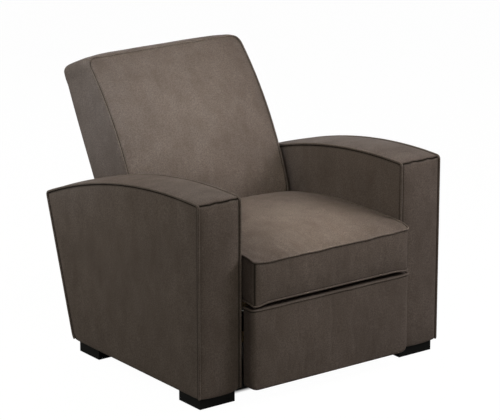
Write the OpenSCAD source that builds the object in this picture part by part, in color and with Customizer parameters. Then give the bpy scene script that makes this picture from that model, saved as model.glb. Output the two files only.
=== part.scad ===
// Cinema recliner seat: a push-back recliner between two upholstered arms.
// Millimetres. X runs across the seat, -Y is the way the sitter faces, +Z is up.
// Left and right are the sitter's own. The modules measure Y from the front face of the
// arms; from_front() moves them so that the origin lies under the middle of the whole seat.

/* [Arms] */
// Width over both arms
overall_width = 890; // [870:2:920]
// Width of one arm
arm_width = 144.5; // [136:0.5:152]
// Height of the arm's front top edge
arm_front_height = 611.5; // [596:0.5:626]
// Radius of the arch along the arm's top
arch_radius = 1843; // [1700:1:2000]
// Distance from the arm's front to the highest point of the arch
arch_setback = 89; // [70:1:110]
// Depth of the arm along its bottom edge
arm_foot_depth = 663; // [640:1:680]
// Lean of the arm's rear edge
arm_rear_lean = 17.2; // [14:0.1:19]
// Thickness of padding and leather on the arm frame
cover_thickness = 18; // [15:0.5:21]

/* [Feet] */
// Height of the feet with their glides
foot_height = 36.4; // [32:0.1:42]
// Width of one foot
foot_width = 124; // [110:1:130]
// Depth of one foot
foot_depth = 104; // [90:1:115]
// Distance of the feet from the arm's outer side
foot_inset = 11.5; // [8:0.5:14]

/* [Seat] */
// Gap between the seat cushion and each arm
side_gap = 14.3; // [13:0.1:17]
// Distance by which the cushion stands out in front of the arms
cushion_overhang = 50.7; // [45:0.1:56]
// Height of the underside of the cushion
cushion_bottom = 304.8; // [300:0.1:310]
// Height of the cushion's front top seam
cushion_seam_height = 428; // [420:1:436]
// Rise of the middle of the cushion above its front top seam
cushion_crown = 50; // [42:1:56]
// Distance from the rear of the cushion to the arm's rear edge at its foot
cushion_setback = 123; // [122:1:129]

/* [Back] */
// Lean of the back's rear face when upright
back_lean = 25.8; // [24:0.1:27]
// Length of the back along its lean
back_length = 560; // [545:1:575]
// Greatest thickness of the back at its sides
back_thickness = 188; // [180:1:194]
// Radius of the curve of the back's front seam
back_front_radius = 1100; // [1000:10:1200]
// Swell of the back's front over its seam
back_crown = 22; // [16:1:28]
// Corner radius of the back's top corners
back_corner_radius = 28; // [20:1:36]
// Greatest recline of the back
recline_angle = 35; // [30:1:38]

/* [Footrest] */
// Height of the footrest panel's top edge
footrest_top = 291; // [286:1:293]
// Height of the footrest panel's bottom edge
footrest_bottom = 52; // [48:1:60]
// Thickness of the footrest padding
pad_thickness = 45; // [40:1:50]
// Length of the swinging footrest links
link_length = 170; // [164:1:174]
// Angle of the links below the horizontal, when folded
link_angle = 55; // [53:0.5:57]
// Distance between the two parallel swinging links
link_spacing = 65; // [60:1:70]

/* [Hidden] */

// Fineness of drawn circles: small holes and pins, and the large arcs
$fn = 64;
fine = 360;

// Colours
leather_colour = [0.42, 0.38, 0.34];
black_colour = [0.06, 0.06, 0.06];
wood_colour = [0.72, 0.58, 0.40];
steel_colour = [0.30, 0.31, 0.33];
bright_colour = [0.70, 0.71, 0.73];
nylon_colour = [0.85, 0.85, 0.82];

// A length that is longer than anything here, for shapes that only cut
far = 3000;
// Straight edges stop this far short of the round ends they meet, so that the outlines cross
nip = 0.05;
// Radial play of a turning hole on its rivet, of an opened pivot, and of a rivet's head
play = 0.05;
open_play = 0.4;
head_gap = 0.3;

// Arms
half_width = overall_width / 2;
arm_inner = half_width - arm_width;
arm_bottom = foot_height;
arch_drop = sqrt(arch_radius * arch_radius - arch_setback * arch_setback);
arch_centre = [arch_setback, arm_front_height - arch_drop];
arm_corner_radius = 25;
frame_board = 15;
frame_x = [arm_inner + cover_thickness, half_width - cover_thickness];

// Feet: their X range on the left, the front edges along Y, the glides and the bolts
foot_x = half_width - foot_inset - foot_width;
foot_front_y = 12.8;
foot_rear_y = arm_foot_depth - 21 - foot_depth;
glide_height = 2;
glide_inset = 5;
foot_bolt_radius = 4;
foot_bolt_head = 9;
foot_bolt_head_top = 12;
foot_bolt_top = arm_bottom + 24;

// Steel layers of the mechanism, from the arm inwards: each plate is 4 mm, 1 mm apart
plate = 4;
layer_gap = 1;
plate_x = arm_inner - 24.5;
link_x = plate_x - plate - layer_gap;
carrier_x = link_x - plate - layer_gap;

// Seat frame and its slide
seat_half = arm_inner - side_gap;
cushion_rear = arm_foot_depth - cushion_setback;
cushion_crown_height = cushion_seam_height + cushion_crown;
rail_top = cushion_bottom - 2;
rail_height = 26.8;
rail_bottom = rail_top - rail_height;
wire = 4;
side_rail_width = 40;
seat_front_rail_y = 20;
seat_rear_rail_y = cushion_rear - 45;
cross_rail_depth = 40;
spring_count = 5;
screw_radius = 2;
screw_head = 4.5;
screw_head_height = 2.2;
front_screw_y = 180;
rear_screw_setback = 70;
screw_pitch = 140;

track_height = 32;
track_z = rail_bottom - 37;
track_wall = 3;
track_lip = 16.5;
track_screw_setback = 150;
track_screw_pitch = 60;
shoe_length = 60;
shoe_play = 0.4;
shoe_front_y = [230, cushion_rear - 60];

// Footrest linkage, as [y, z] when folded. Both pairs of links are parallelograms, so
// every joint turns in a constant ratio to the first one.
rivet_radius = 4;
rivet_head = 6.5;
rivet_head_height = 2;
link_half = 11;
control_half = 9;
pivot_a = [75, rail_bottom - 18];
pivot_b = pivot_a + [link_spacing, 0];
link_way = [cos(link_angle), -sin(link_angle)];
pivot_c = pivot_a + link_length * link_way;
pivot_d = pivot_b + link_length * link_way;
arm_of_four = 45;
pivot_g = pivot_d + arm_of_four * link_way;
pivot_p = [25, rail_bottom - 21];
pivot_q = pivot_p + arm_of_four * link_way;
tube_radius = 9;
tube_wall = 1.6;

// Cross rails between the arms: the front one stands behind the folded links
base_rail_side = 40;
base_rail_lift = 9;
link_clearance = 36;
base_front_y = pivot_g[0] + link_half + link_clearance;
base_rear_setback = 103;

// Closing springs: one end on the seat plate, the other on the front link
spring_post = [260, rail_bottom - 81];
spring_pin = pivot_a + 30 * link_way;
spring_x = carrier_x - 11;
spring_radius = 6;
post_radius = 2.5;

// Footrest panel
board_thickness = 15;
pad_front = -50;
board_front = pad_front + pad_thickness;
board_rear = board_front + board_thickness;
pad_half = arm_inner - 12.5;
pad_edge = 25;
pad_corner = 28;
board_margin = 11;

// Back. Its own frame has +Z up the back's rear face and -Y towards the sitter, from the
// foot of the rear face.
back_half = arm_inner - 15.3;
back_foot = [arm_foot_depth + 25, cushion_bottom + 15.2];
back_bulge_height = 185;
back_centre = [back_front_radius - back_thickness, back_bulge_height];
back_crown_round = 400;
back_crown_lead = 4;
back_wall = 12;
back_rear_radius = 40;
frame_depth = 58;
stile_width = 32;
bracket_x = plate_x - 7;
board_gap = 0.1;
back_pivot = [arm_foot_depth - 3, cushion_bottom - 14.8];
guide_pin_radius = 5;
guide_slot_play = 1.8;
bracket_half = 14;
bracket_inset = 35;
bracket_foot = 20;
bracket_reach = 190;

// The guide pin stands above the pivot and stays in its upright slot on the arm, so the seat
// runs forward as the back leans: how far, and how much the pin sways in its slot
guide_arm = [22, 110];
guide_pin = back_pivot + guide_arm;
function pin_swing(turn) = guide_arm[0] * cos(turn) + guide_arm[1] * sin(turn) - guide_arm[0];
seat_travel = pin_swing(recline_angle);
pin_sway = pin_swing(recline_angle / 2) - seat_travel / 2;
track_y = [shoe_front_y[0] - seat_travel - 8, shoe_front_y[1] + shoe_length + 10];
pin_drop = guide_arm[1] - guide_arm[1] * cos(recline_angle) + guide_arm[0] * sin(recline_angle);
pivot_bolt_radius = 6;

// Middle of the seat's depth: the cushion's front and the back's furthest reach
back_reach = back_foot[0] + back_rear_radius * (1 - cos(back_lean))
    + (back_length - back_rear_radius) * sin(back_lean);
depth_middle = (back_reach - cushion_overhang) / 2;

// ---------------------------------------------------------------- helpers

module from_front() {
    translate([0, -depth_middle, 0]) children();
}

// Draws on the left, or mirrored on the right
module on_side(side) {
    if (side == "left") children();
    else mirror([1, 0, 0]) children();
}

module both_sides() {
    children();
    mirror([1, 0, 0]) children();
}

// Extrudes a [y, z] outline across the seat, from x by depth
module across(x, depth) {
    translate([x, 0, 0]) rotate([90, 0, 90]) linear_extrude(depth) children();
}

// Extrudes an [x, z] outline along the seat, from y by depth
module along(y, depth) {
    translate([0, y + depth, 0]) rotate([90, 0, 0]) linear_extrude(depth) children();
}

// A round rod across the seat at a [y, z] point
module rod(point, x, length, radius) {
    translate([x, point[0], point[1]]) rotate([0, 90, 0]) cylinder(r = radius, h = length);
}

// A flat bar with round ends between two points, drawn in the plane
module bar(a, b, half) {
    way = b - a;
    translate(a) circle(r = half);
    translate(b) circle(r = half);
    translate(a) rotate(atan2(way[1], way[0])) translate([0, nip - half])
        square([norm(way), 2 * (half - nip)]);
}

// A rectangle with a round corner of its own radius at each end of the bottom and the top
module round_box(low, high, low_radius, high_radius) {
    module corner(x, z, radius, sx, sz) {
        if (radius > 0)
            translate([x + sx * radius, z + sz * radius]) circle(r = radius, $fn = 96);
    }
    w = high[0] - low[0];
    h = high[1] - low[1];
    translate([low[0], low[1] + low_radius]) square([w, h - low_radius - high_radius]);
    translate([low[0] + low_radius, low[1]]) square([w - 2 * low_radius, low_radius + 1]);
    translate([low[0] + high_radius, high[1] - high_radius - 1])
        square([w - 2 * high_radius, high_radius + 1]);
    corner(low[0], low[1], low_radius, 1, 1);
    corner(high[0], low[1], low_radius, -1, 1);
    corner(low[0], high[1], high_radius, 1, -1);
    corner(high[0], high[1], high_radius, -1, -1);
}

// A rivet from a plate at own_x: its shank runs through the plate at other_x
module rivet(point, from_x, to_x, head_x) {
    rod(point, from_x, to_x - from_x, rivet_radius);
    rod(point, head_x, rivet_head_height, rivet_head);
}

// A flat zigzag spring of square wire in the plane, from 0 to run along X
module zigzag(run, amplitude, loops) {
    pitch = run / (2 * loops);
    radius = pitch / 2;
    leg = 2 * (amplitude - radius);
    lap = 0.2;
    module bend(x, y, turn) {
        translate([x, y]) rotate(turn) difference() {
            circle(r = radius + wire / 2, $fn = 48);
            circle(r = radius - wire / 2, $fn = 48);
            translate([-far / 2, -far]) square([far, far]);
        }
    }
    for (i = [0:2 * loops])
        translate([i * pitch - wire / 2, i == 0 ? 0 : -leg / 2 - lap])
            square([wire, (i == 0 || i == 2 * loops ? leg / 2 : leg + lap) + lap]);
    for (i = [0:2 * loops - 1])
        bend((i + 0.5) * pitch, i % 2 == 0 ? leg / 2 : -leg / 2, i % 2 == 0 ? 0 : 180);
}

// ---------------------------------------------------------------- arms

// The arm's side outline, smaller all round by inset, down to the height low
module arm_outline(inset, low) {
    corner = arm_corner_radius - min(inset, arm_corner_radius - 5);
    tangent = corner / tan(45 + arm_rear_lean / 2);
    rear_low = arm_foot_depth - inset / cos(arm_rear_lean)
        + (low - arm_bottom) * tan(arm_rear_lean);
    way = [sin(arm_rear_lean), cos(arm_rear_lean)];
    intersection() {
        translate(arch_centre) circle(r = arch_radius - inset, $fn = fine);
        union() {
            polygon([
                [inset, low], [rear_low - tangent, low],
                [rear_low, low] + tangent * way, [rear_low, low] + 900 * way, [inset, 900]
            ]);
            translate([rear_low - tangent, low + corner]) circle(r = corner - nip);
        }
    }
}

module arm_frame(side) {
    rail = 24;
    inner = cover_thickness;
    deep = frame_x[1] - frame_x[0];
    color(wood_colour) from_front() on_side(side) difference() {
        union() {
            across(frame_x[0], frame_board) arm_outline(inner, arm_bottom);
            across(frame_x[0], deep) intersection() {
                arm_outline(inner, arm_bottom);
                union() {
                    square([far, arm_bottom + rail]);
                    square([inner + rail, far]);
                    translate([arm_foot_depth - 60, 0]) rotate(-arm_rear_lean)
                        translate([0, -far / 2]) square([far, far]);
                }
            }
        }
        foot_bolt_holes();
        track_screw_holes();
    }
}

module arm_outer_cover(side) {
    color(leather_colour) from_front() on_side(side)
        across(half_width - cover_thickness, cover_thickness) arm_outline(0, arm_bottom);
}

module arm_inner_cover(side) {
    color(leather_colour) from_front() on_side(side) difference() {
        across(arm_inner, cover_thickness) arm_outline(0, arm_bottom);
        track_screw_holes();
    }
}

// The band over the arch and down the rear edge, between the two side covers
module arm_top_cover(side) {
    color(leather_colour) from_front() on_side(side)
        across(frame_x[0], frame_x[1] - frame_x[0]) difference() {
            arm_outline(0, arm_bottom);
            arm_outline(cover_thickness, arm_bottom);
            square([cover_thickness, far]);
            square([arm_foot_depth - 60, arm_bottom + 200]);
        }
}

module arm_front_cover(side) {
    color(leather_colour) from_front() on_side(side)
        across(frame_x[0], frame_x[1] - frame_x[0]) intersection() {
            arm_outline(0, arm_bottom);
            square([cover_thickness, far]);
        }
}

// ---------------------------------------------------------------- feet

module foot_bolt_holes() {
    for (y = [foot_front_y, foot_rear_y])
        translate([foot_x + foot_width / 2, y + foot_depth / 2, 0])
            cylinder(r = foot_bolt_radius, h = foot_bolt_top);
}

module foot(y, side) {
    color(black_colour) from_front() on_side(side) difference() {
        translate([foot_x, y, glide_height])
            cube([foot_width, foot_depth, foot_height - glide_height]);
        foot_bolt_holes();
        translate([foot_x + foot_width / 2, y + foot_depth / 2, glide_height - 1])
            cylinder(r = foot_bolt_head, h = foot_bolt_head_top - glide_height + 1);
    }
}

module foot_glides() {
    color(nylon_colour) from_front() both_sides()
        for (y = [foot_front_y, foot_rear_y]) difference() {
            translate([foot_x + glide_inset, y + glide_inset, 0])
                cube([foot_width - 2 * glide_inset, foot_depth - 2 * glide_inset, glide_height]);
            translate([foot_x + foot_width / 2, y + foot_depth / 2, -1])
                cylinder(r = foot_bolt_head, h = glide_height + 2);
        }
}

module foot_bolts() {
    head = 6;
    color(bright_colour) from_front() both_sides()
        for (y = [foot_front_y, foot_rear_y])
            translate([foot_x + foot_width / 2, y + foot_depth / 2, 0]) {
                translate([0, 0, foot_bolt_head_top - head])
                    cylinder(r = foot_bolt_head - 1.5, h = head);
                translate([0, 0, foot_bolt_head_top - 1])
                    cylinder(r = foot_bolt_radius, h = foot_bolt_top - foot_bolt_head_top + 1);
            }
}

// ---------------------------------------------------------------- base between the arms

module base_rail(y) {
    color(wood_colour) from_front()
        translate([-arm_inner, y, arm_bottom + base_rail_lift])
            cube([2 * arm_inner, base_rail_side, base_rail_side]);
}

module base_front_rail() {
    base_rail(base_front_y);
}

module base_rear_rail() {
    base_rail(arm_foot_depth - base_rear_setback);
}

module rear_valance() {
    low = arm_bottom + 24;
    high = cushion_bottom - 12;
    inset = 14;
    color(leather_colour) from_front()
        across(-arm_inner, 2 * arm_inner) intersection() {
            difference() {
                arm_outline(inset, low);
                translate([-14, 0]) arm_outline(inset, 0);
            }
            translate([0, low]) square([far, high - low]);
        }
}

module track_screw_points() {
    for (i = [0, 1])
        translate([0, cushion_rear - track_screw_setback - i * track_screw_pitch,
            track_z + track_height / 2]) children();
}

module track_screw_holes() {
    track_screw_points()
        translate([arm_inner - track_wall - 1, 0, 0]) rotate([0, 90, 0])
            cylinder(r = screw_radius, h = track_wall + 28);
}

module seat_track(side) {
    color(steel_colour) from_front() on_side(side) difference() {
        translate([arm_inner - track_lip, track_y[0], track_z])
            cube([track_lip, track_y[1] - track_y[0], track_height]);
        translate([arm_inner - track_lip - 1, track_y[0] - 1, track_z + track_wall])
            cube([track_lip + 1 - track_wall, track_y[1] - track_y[0] + 2,
                track_height - 2 * track_wall]);
        track_screw_holes();
    }
}

module track_screws() {
    color(bright_colour) from_front() both_sides() track_screw_points()
        translate([arm_inner - track_wall, 0, 0]) rotate([0, 90, 0]) {
            translate([0, 0, -screw_head_height])
                cylinder(r = screw_head, h = screw_head_height);
            cylinder(r = screw_radius, h = track_wall + 27);
        }
}

// A channel on each arm that holds the back's guide pin, so the seat moves as the back leans
module back_guides() {
    slot = guide_pin_radius + guide_slot_play;
    middle = guide_pin[0] + pin_sway / 2;
    lip = 13;
    cheek = 6;
    low = guide_pin[1] - pin_drop - 2 * guide_pin_radius;
    height = pin_drop + 4 * guide_pin_radius;
    module cheeks() {
        for (y = [middle - slot - cheek, middle + slot])
            translate([arm_inner - lip, y, low]) cube([lip, cheek, height]);
    }
    color(steel_colour) from_front() both_sides() {
        cheeks();
        translate([arm_inner - track_wall, middle - slot - cheek, low])
            cube([track_wall, 2 * (slot + cheek), height]);
    }
}

// ---------------------------------------------------------------- seat

module seat_screw_points() {
    rear = cushion_rear - rear_screw_setback;
    for (y = [front_screw_y, rear - screw_pitch, rear])
        translate([0, y, rail_bottom + rail_height / 2]) children();
}

module seat_plate(side) {
    low = rail_bottom - 40;
    front = pivot_a[0] - 22;
    heel = back_pivot[0] - 60;
    color(steel_colour) from_front() on_side(side) difference() {
        across(plate_x, plate) {
            translate([front, low]) square([back_pivot[0] - front, 40]);
            translate([front, rail_bottom - 1]) square([heel - front, rail_height - 4]);
            bar([heel, back_pivot[1] - 10], back_pivot, bracket_half);
            bar(spring_post, spring_post + [0, 55], 12);
        }
        for (point = [pivot_a, pivot_b]) rod(point, plate_x - 1, plate + 2, rivet_radius);
        rod(back_pivot, plate_x - 1, plate + 2, pivot_bolt_radius);
        seat_screw_points() translate([plate_x - 1, 0, 0]) rotate([0, 90, 0])
            cylinder(r = screw_radius, h = plate + 2);
    }
}

module seat_side_rail(side) {
    color(wood_colour) from_front() on_side(side) difference() {
        translate([plate_x - side_rail_width, seat_front_rail_y, rail_bottom])
            cube([side_rail_width, cushion_rear - 5 - seat_front_rail_y, rail_height]);
        seat_screw_points() translate([plate_x - 19, 0, 0]) rotate([0, 90, 0])
            cylinder(r = screw_radius, h = 20);
    }
}

module seat_cross_rail(y) {
    inner = plate_x - side_rail_width;
    color(wood_colour) from_front() translate([-inner, y, rail_bottom])
        cube([2 * inner, cross_rail_depth, rail_height - wire]);
}

module seat_front_rail() {
    seat_cross_rail(seat_front_rail_y);
}

module seat_rear_rail() {
    seat_cross_rail(seat_rear_rail_y);
}

// X position of each zigzag spring of a set that spans the width between the side rails
function spring_place(i, half) = (i - (spring_count - 1) / 2) * 2 * half / spring_count;

module seat_springs() {
    inner = plate_x - side_rail_width;
    start = seat_front_rail_y + cross_rail_depth / 2;
    run = seat_rear_rail_y + cross_rail_depth / 2 - start;
    color(bright_colour) from_front()
        for (i = [0:spring_count - 1])
            translate([spring_place(i, inner), start, rail_top - wire]) rotate(90)
                linear_extrude(wire) zigzag(run, 30, 9);
}

module spring_clips() {
    inner = plate_x - side_rail_width;
    size = [16, 8, 1.2];
    color(steel_colour) from_front()
        for (i = [0:spring_count - 1], y = [seat_front_rail_y, seat_rear_rail_y])
            translate([spring_place(i, inner) - size[0] - wire, y + 7, rail_top - wire])
                cube(size);
}

module seat_deck() {
    color(black_colour) from_front()
        translate([-plate_x, seat_front_rail_y, rail_top])
            cube([2 * plate_x, cushion_rear - 5 - seat_front_rail_y, 2]);
}

// The cushion's top falls towards the front, the sides and the rear, and its upright edges are
// round. Behind the peak the fall starts a little above the crown, so that the two cross
module seat_cushion() {
    front = -cushion_overhang;
    edge = 14;
    nose = 160;
    nose_rise = cushion_crown_height - cushion_seam_height + 1;
    nose_radius = (nose * nose + nose_rise * nose_rise) / (2 * nose_rise);
    crown = 35;
    crown_radius = (seat_half * seat_half + crown * crown) / (2 * crown);
    peak = cushion_rear - 246;
    fall_radius = 450;
    color(leather_colour) from_front() intersection() {
        translate([0, 0, cushion_bottom])
            linear_extrude(cushion_crown_height - cushion_bottom + 20)
                round_box([-seat_half, front], [seat_half, cushion_rear], edge, edge);
        across(-far / 2, far) {
            translate([front + nose, 0]) square([far, far]);
            translate([front + nose, cushion_seam_height + nose_rise - nose_radius])
                circle(r = nose_radius, $fn = fine);
        }
        across(-far / 2, far) {
            translate([peak - far, 0]) square([far, far]);
            translate([peak, cushion_crown_height + 1 - fall_radius])
                circle(r = fall_radius, $fn = fine);
        }
        along(-far / 2, far) translate([0, cushion_crown_height - crown_radius])
            circle(r = crown_radius, $fn = fine);
    }
}

module glide_shoes() {
    height = track_height - 2 * track_wall - 2 * shoe_play;
    start = plate_x + plate;
    color(nylon_colour) from_front() both_sides()
        for (y = shoe_front_y)
            translate([start, y, track_z + track_wall + shoe_play])
                cube([arm_inner - track_wall - screw_head_height - 0.6 - start,
                    shoe_length, height]);
}

module seat_screws() {
    color(bright_colour) from_front() both_sides() seat_screw_points()
        translate([plate_x + plate, 0, 0]) rotate([0, -90, 0]) {
            translate([0, 0, -screw_head_height])
                cylinder(r = screw_head, h = screw_head_height);
            cylinder(r = screw_radius, h = plate + 18);
        }
}

module dust_cover() {
    start = pivot_b[0] + 40;
    color(black_colour) from_front()
        translate([-(plate_x - side_rail_width), start, rail_bottom - 1])
            cube([2 * (plate_x - side_rail_width), cushion_rear - 5 - start, 1]);
}

module seat_plate_rivets() {
    color(bright_colour) from_front() both_sides() {
        for (point = [pivot_a, pivot_b]) {
            rivet(point, link_x - head_gap, plate_x + plate, plate_x + plate);
            rod(point, link_x - head_gap - rivet_head_height, rivet_head_height, rivet_head);
        }
        rod(spring_post, spring_x - 4, plate_x - spring_x + 4, post_radius);
    }
}

module back_pivot_bolts() {
    head = 10;
    bracket_inner = bracket_x - head_gap;
    bracket_outer = bracket_x + plate + head_gap;
    color(bright_colour) from_front() both_sides() {
        rod(back_pivot, bracket_inner - 3, plate_x + plate + 3 - bracket_inner + 3,
            pivot_bolt_radius);
        rod(back_pivot, bracket_inner - 4, 4, head);
        rod(back_pivot, bracket_outer, plate_x - bracket_outer, head);
        rod(back_pivot, plate_x + plate, 4, head);
    }
}

// ---------------------------------------------------------------- footrest linkage

module link(a, b, x, half, holes) {
    difference() {
        across(x, plate) bar(a, b, half);
        for (hole = holes) rod(hole[0], x - 1, plate + 2, hole[1]);
    }
}

module front_links() {
    color(steel_colour) from_front() both_sides()
        link(pivot_a, pivot_c, link_x, link_half, [
            [pivot_a, rivet_radius + play], [pivot_c, rivet_radius], [spring_pin, post_radius]
        ]);
}

module torque_tube() {
    color(steel_colour) from_front() difference() {
        rod(pivot_a, -link_x, 2 * link_x, tube_radius);
        rod(pivot_a, -link_x - 1, 2 * link_x + 2, tube_radius - tube_wall);
    }
}

module front_link_rivets() {
    color(bright_colour) from_front() both_sides() {
        rivet(pivot_c, carrier_x - head_gap, link_x + plate,
            carrier_x - head_gap - rivet_head_height);
        rod(spring_pin, spring_x - 4, link_x + plate - spring_x + 4, post_radius);
    }
}

module rear_links() {
    color(steel_colour) from_front() both_sides()
        link(pivot_b, pivot_g, link_x, link_half, [
            [pivot_b, rivet_radius + play], [pivot_d, rivet_radius], [pivot_g, rivet_radius]
        ]);
}

module rear_link_rivets() {
    color(bright_colour) from_front() both_sides() {
        rivet(pivot_d, carrier_x - head_gap, link_x + plate,
            carrier_x - head_gap - rivet_head_height);
        rivet(pivot_g, link_x, plate_x + plate + head_gap, plate_x + plate + head_gap);
    }
}

module carrier_plates() {
    color(steel_colour) from_front() both_sides() difference() {
        across(carrier_x, plate) {
            bar(pivot_p, pivot_d, control_half);
            bar(pivot_c, pivot_d, control_half);
        }
        rod(pivot_p, carrier_x - 1, plate + 2, rivet_radius + play);
        rod(pivot_c, carrier_x - 1, plate + 2, rivet_radius + play);
        rod(pivot_d, carrier_x - 1, plate + 2, rivet_radius + open_play);
    }
}

module control_links() {
    color(steel_colour) from_front() both_sides()
        link(pivot_g, pivot_q, plate_x, control_half, [
            [pivot_g, rivet_radius + play], [pivot_q, rivet_radius + open_play]
        ]);
}

// ---------------------------------------------------------------- footrest

module board_outline(margin, corner) {
    round_box([-(pad_half - margin), footrest_bottom + margin],
        [pad_half - margin, footrest_top - margin], corner, 8);
}

module footrest_screw_points() {
    for (z = [pivot_p[1] - 42, pivot_p[1] + 6])
        translate([link_x - 12, board_rear, z]) children();
}

module footrest_board() {
    color(wood_colour) from_front() difference() {
        along(board_front, board_thickness)
            board_outline(board_margin, pad_corner - board_margin);
        both_sides() footrest_screw_points() rotate([90, 0, 0])
            translate([0, 0, -1]) cylinder(r = screw_radius, h = 13);
    }
}

module footrest_pad() {
    color(leather_colour) from_front() intersection() {
        along(pad_front, pad_thickness) board_outline(0, pad_corner);
        across(-pad_half, 2 * pad_half) intersection() {
            round_box([pad_front, footrest_bottom], [pad_front + 2 * pad_edge, footrest_top],
                20, 16);
            translate([pad_front, footrest_bottom]) square([pad_thickness, far]);
        }
        translate([0, 0, footrest_bottom]) linear_extrude(footrest_top)
            round_box([-pad_half, pad_front], [pad_half, pad_front + 3 * pad_edge],
                pad_edge, pad_edge);
    }
}

module footrest_brackets() {
    flange = 3;
    low = pivot_q[1] - link_half;
    high = pivot_p[1] + link_half;
    color(steel_colour) from_front() both_sides() difference() {
        union() {
            across(link_x, plate) {
                bar(pivot_p, pivot_q, link_half);
                translate([board_rear, low]) square([pivot_p[0] - board_rear + 4, high - low]);
                translate([board_rear, low]) square([pivot_q[0] - board_rear, 2 * link_half]);
            }
            translate([link_x - 22, board_rear, low]) cube([22 + plate, flange, high - low]);
        }
        rod(pivot_p, link_x - 1, plate + 2, rivet_radius);
        rod(pivot_q, link_x - 1, plate + 2, rivet_radius);
        footrest_screw_points() rotate([-90, 0, 0]) translate([0, 0, -1])
            cylinder(r = screw_radius, h = flange + 2);
    }
}

module footrest_rivets() {
    color(bright_colour) from_front() both_sides() {
        rivet(pivot_p, carrier_x - head_gap, link_x + plate,
            carrier_x - head_gap - rivet_head_height);
        rivet(pivot_q, link_x, plate_x + plate + head_gap, plate_x + plate + head_gap);
    }
}

module footrest_screws() {
    color(bright_colour) from_front() both_sides() footrest_screw_points() {
        translate([0, 3 + screw_head_height, 0]) rotate([90, 0, 0])
            cylinder(r = screw_head, h = screw_head_height);
        translate([0, 3, 0]) rotate([90, 0, 0]) cylinder(r = screw_radius, h = 15);
    }
}

module closing_springs() {
    way = spring_post - spring_pin;
    hook = 14;
    body = norm(way) - 2 * hook;
    loop = post_radius + 1.2;
    module eye(z) {
        translate([0, 0, z]) rotate([90, 0, 0]) rotate_extrude()
            translate([loop, 0]) circle(r = 1, $fn = 24);
    }
    color(bright_colour) from_front() both_sides()
        translate([spring_x, spring_pin[0], spring_pin[1]])
            rotate([atan2(way[1], way[0]) - 90, 0, 0]) rotate([0, 0, 90]) {
                eye(0);
                eye(norm(way));
                for (z = [loop, norm(way) - hook - 1]) translate([0, 0, z])
                    cylinder(r = 1, h = hook + 1 - loop);
                translate([0, 0, hook]) cylinder(r = spring_radius, h = body);
            }
}

// ---------------------------------------------------------------- back

// Moves from the back's own frame to the seat's
module on_back() {
    translate([0, back_foot[0], back_foot[1]]) rotate([-back_lean, 0, 0]) children();
}

// The back's outline from the front, in its own frame
module back_face(inset) {
    round_box([-(back_half - inset), inset], [back_half - inset, back_length - inset],
        0, back_corner_radius - min(inset, back_corner_radius - 5));
}

// The back's outline from the side, with a round top rear edge
module back_side(inset) {
    top = back_length - inset;
    radius = back_rear_radius - inset;
    intersection() {
        translate(back_centre + [inset, 0]) circle(r = back_front_radius, $fn = fine);
        union() {
            translate([-far, inset]) square([far - inset, top - inset - radius]);
            translate([-far, top - radius - 1]) square([far - inset - radius, radius + 1]);
            translate([-inset - radius, top - radius]) circle(r = radius);
        }
    }
}

// The swell of the front across the back: it starts at the side seams and is level between
module back_swell() {
    high = back_front_radius + back_crown;
    run = sqrt(2 * back_crown_round * back_crown - back_crown * back_crown);
    translate([0, back_centre[0], back_centre[1]]) rotate([0, 90, 0])
        rotate_extrude($fn = fine) intersection() {
            translate([back_centre[0], -back_half - 1])
                square([high - back_centre[0], 2 * back_half + 2]);
            union() {
                translate([0, run - back_half]) square([high - nip, 2 * (back_half - run)]);
                for (x = [run - back_half, back_half - run])
                    translate([high - back_crown_round, x])
                        circle(r = back_crown_round, $fn = fine);
            }
        }
}

// The swell of the front from side view: it comes down to the seam at the top. It stands a
// little further out in the middle, so that it crosses the level part and doesn't only touch it
module back_swell_side() {
    swell = back_crown + back_crown_lead;
    rise = back_length - back_centre[1];
    seam = sqrt(back_front_radius * back_front_radius - rise * rise);
    fall = swell + back_front_radius - seam;
    radius = (fall * fall + rise * rise) / (2 * fall);
    translate([radius - back_thickness - swell, back_centre[1]])
        circle(r = radius, $fn = fine);
}

module back_stiles() {
    color(wood_colour) from_front() difference() {
        on_back() both_sides()
            translate([bracket_x - stile_width, -frame_depth - wire, 4])
                cube([stile_width, frame_depth + wire - back_wall - board_gap, back_length - 40]);
        both_sides() rod(guide_pin, bracket_x - 3, 4, guide_pin_radius + 3);
    }
}

module back_rails() {
    inner = bracket_x - stile_width;
    height = 45;
    color(wood_colour) from_front() on_back()
        for (z = [6, back_length - 82])
            translate([-inner, -frame_depth, z])
                cube([2 * inner, frame_depth - back_wall - board_gap, height]);
}

module back_springs() {
    inner = bracket_x - stile_width;
    start = 6 + 22;
    run = back_length - 82 + 22 - start;
    color(bright_colour) from_front() on_back()
        for (i = [0:spring_count - 1])
            translate([spring_place(i, inner), -frame_depth - wire, start])
                rotate([0, -90, 0]) rotate([90, 0, 0]) translate([0, 0, -wire])
                    linear_extrude(wire) zigzag(run, 30, 9);
}

module back_cushion() {
    front = -back_thickness - back_crown - 1;
    rear = -frame_depth - wire;
    color(leather_colour) from_front() intersection() {
        on_back() intersection() {
            along(front, rear - front) back_face(0);
            back_swell();
            across(-back_half, 2 * back_half) back_swell_side();
        }
        translate([-far / 2, cushion_rear + 3, back_foot[1]]) cube([far, far, far]);
    }
}

module back_shell() {
    depth = frame_depth + wire;
    color(leather_colour) from_front() difference() {
        intersection() {
            on_back() difference() {
                intersection() {
                    along(-depth, depth) back_face(0);
                    across(-back_half, 2 * back_half) back_side(0);
                }
                intersection() {
                    along(-depth - 1, depth + 2) back_face(back_wall);
                    across(-back_half, 2 * back_half) back_side(back_wall);
                }
                translate([-back_half + back_wall, -depth - 1, -1])
                    cube([2 * (back_half - back_wall), depth + 1 - back_wall, back_wall + 2]);
            }
            translate([-far / 2, 0, back_foot[1]]) cube([far, far, far]);
        }
        both_sides() rod(guide_pin, back_half - back_wall - 1, back_wall + 2, guide_pin_radius);
    }
}

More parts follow.
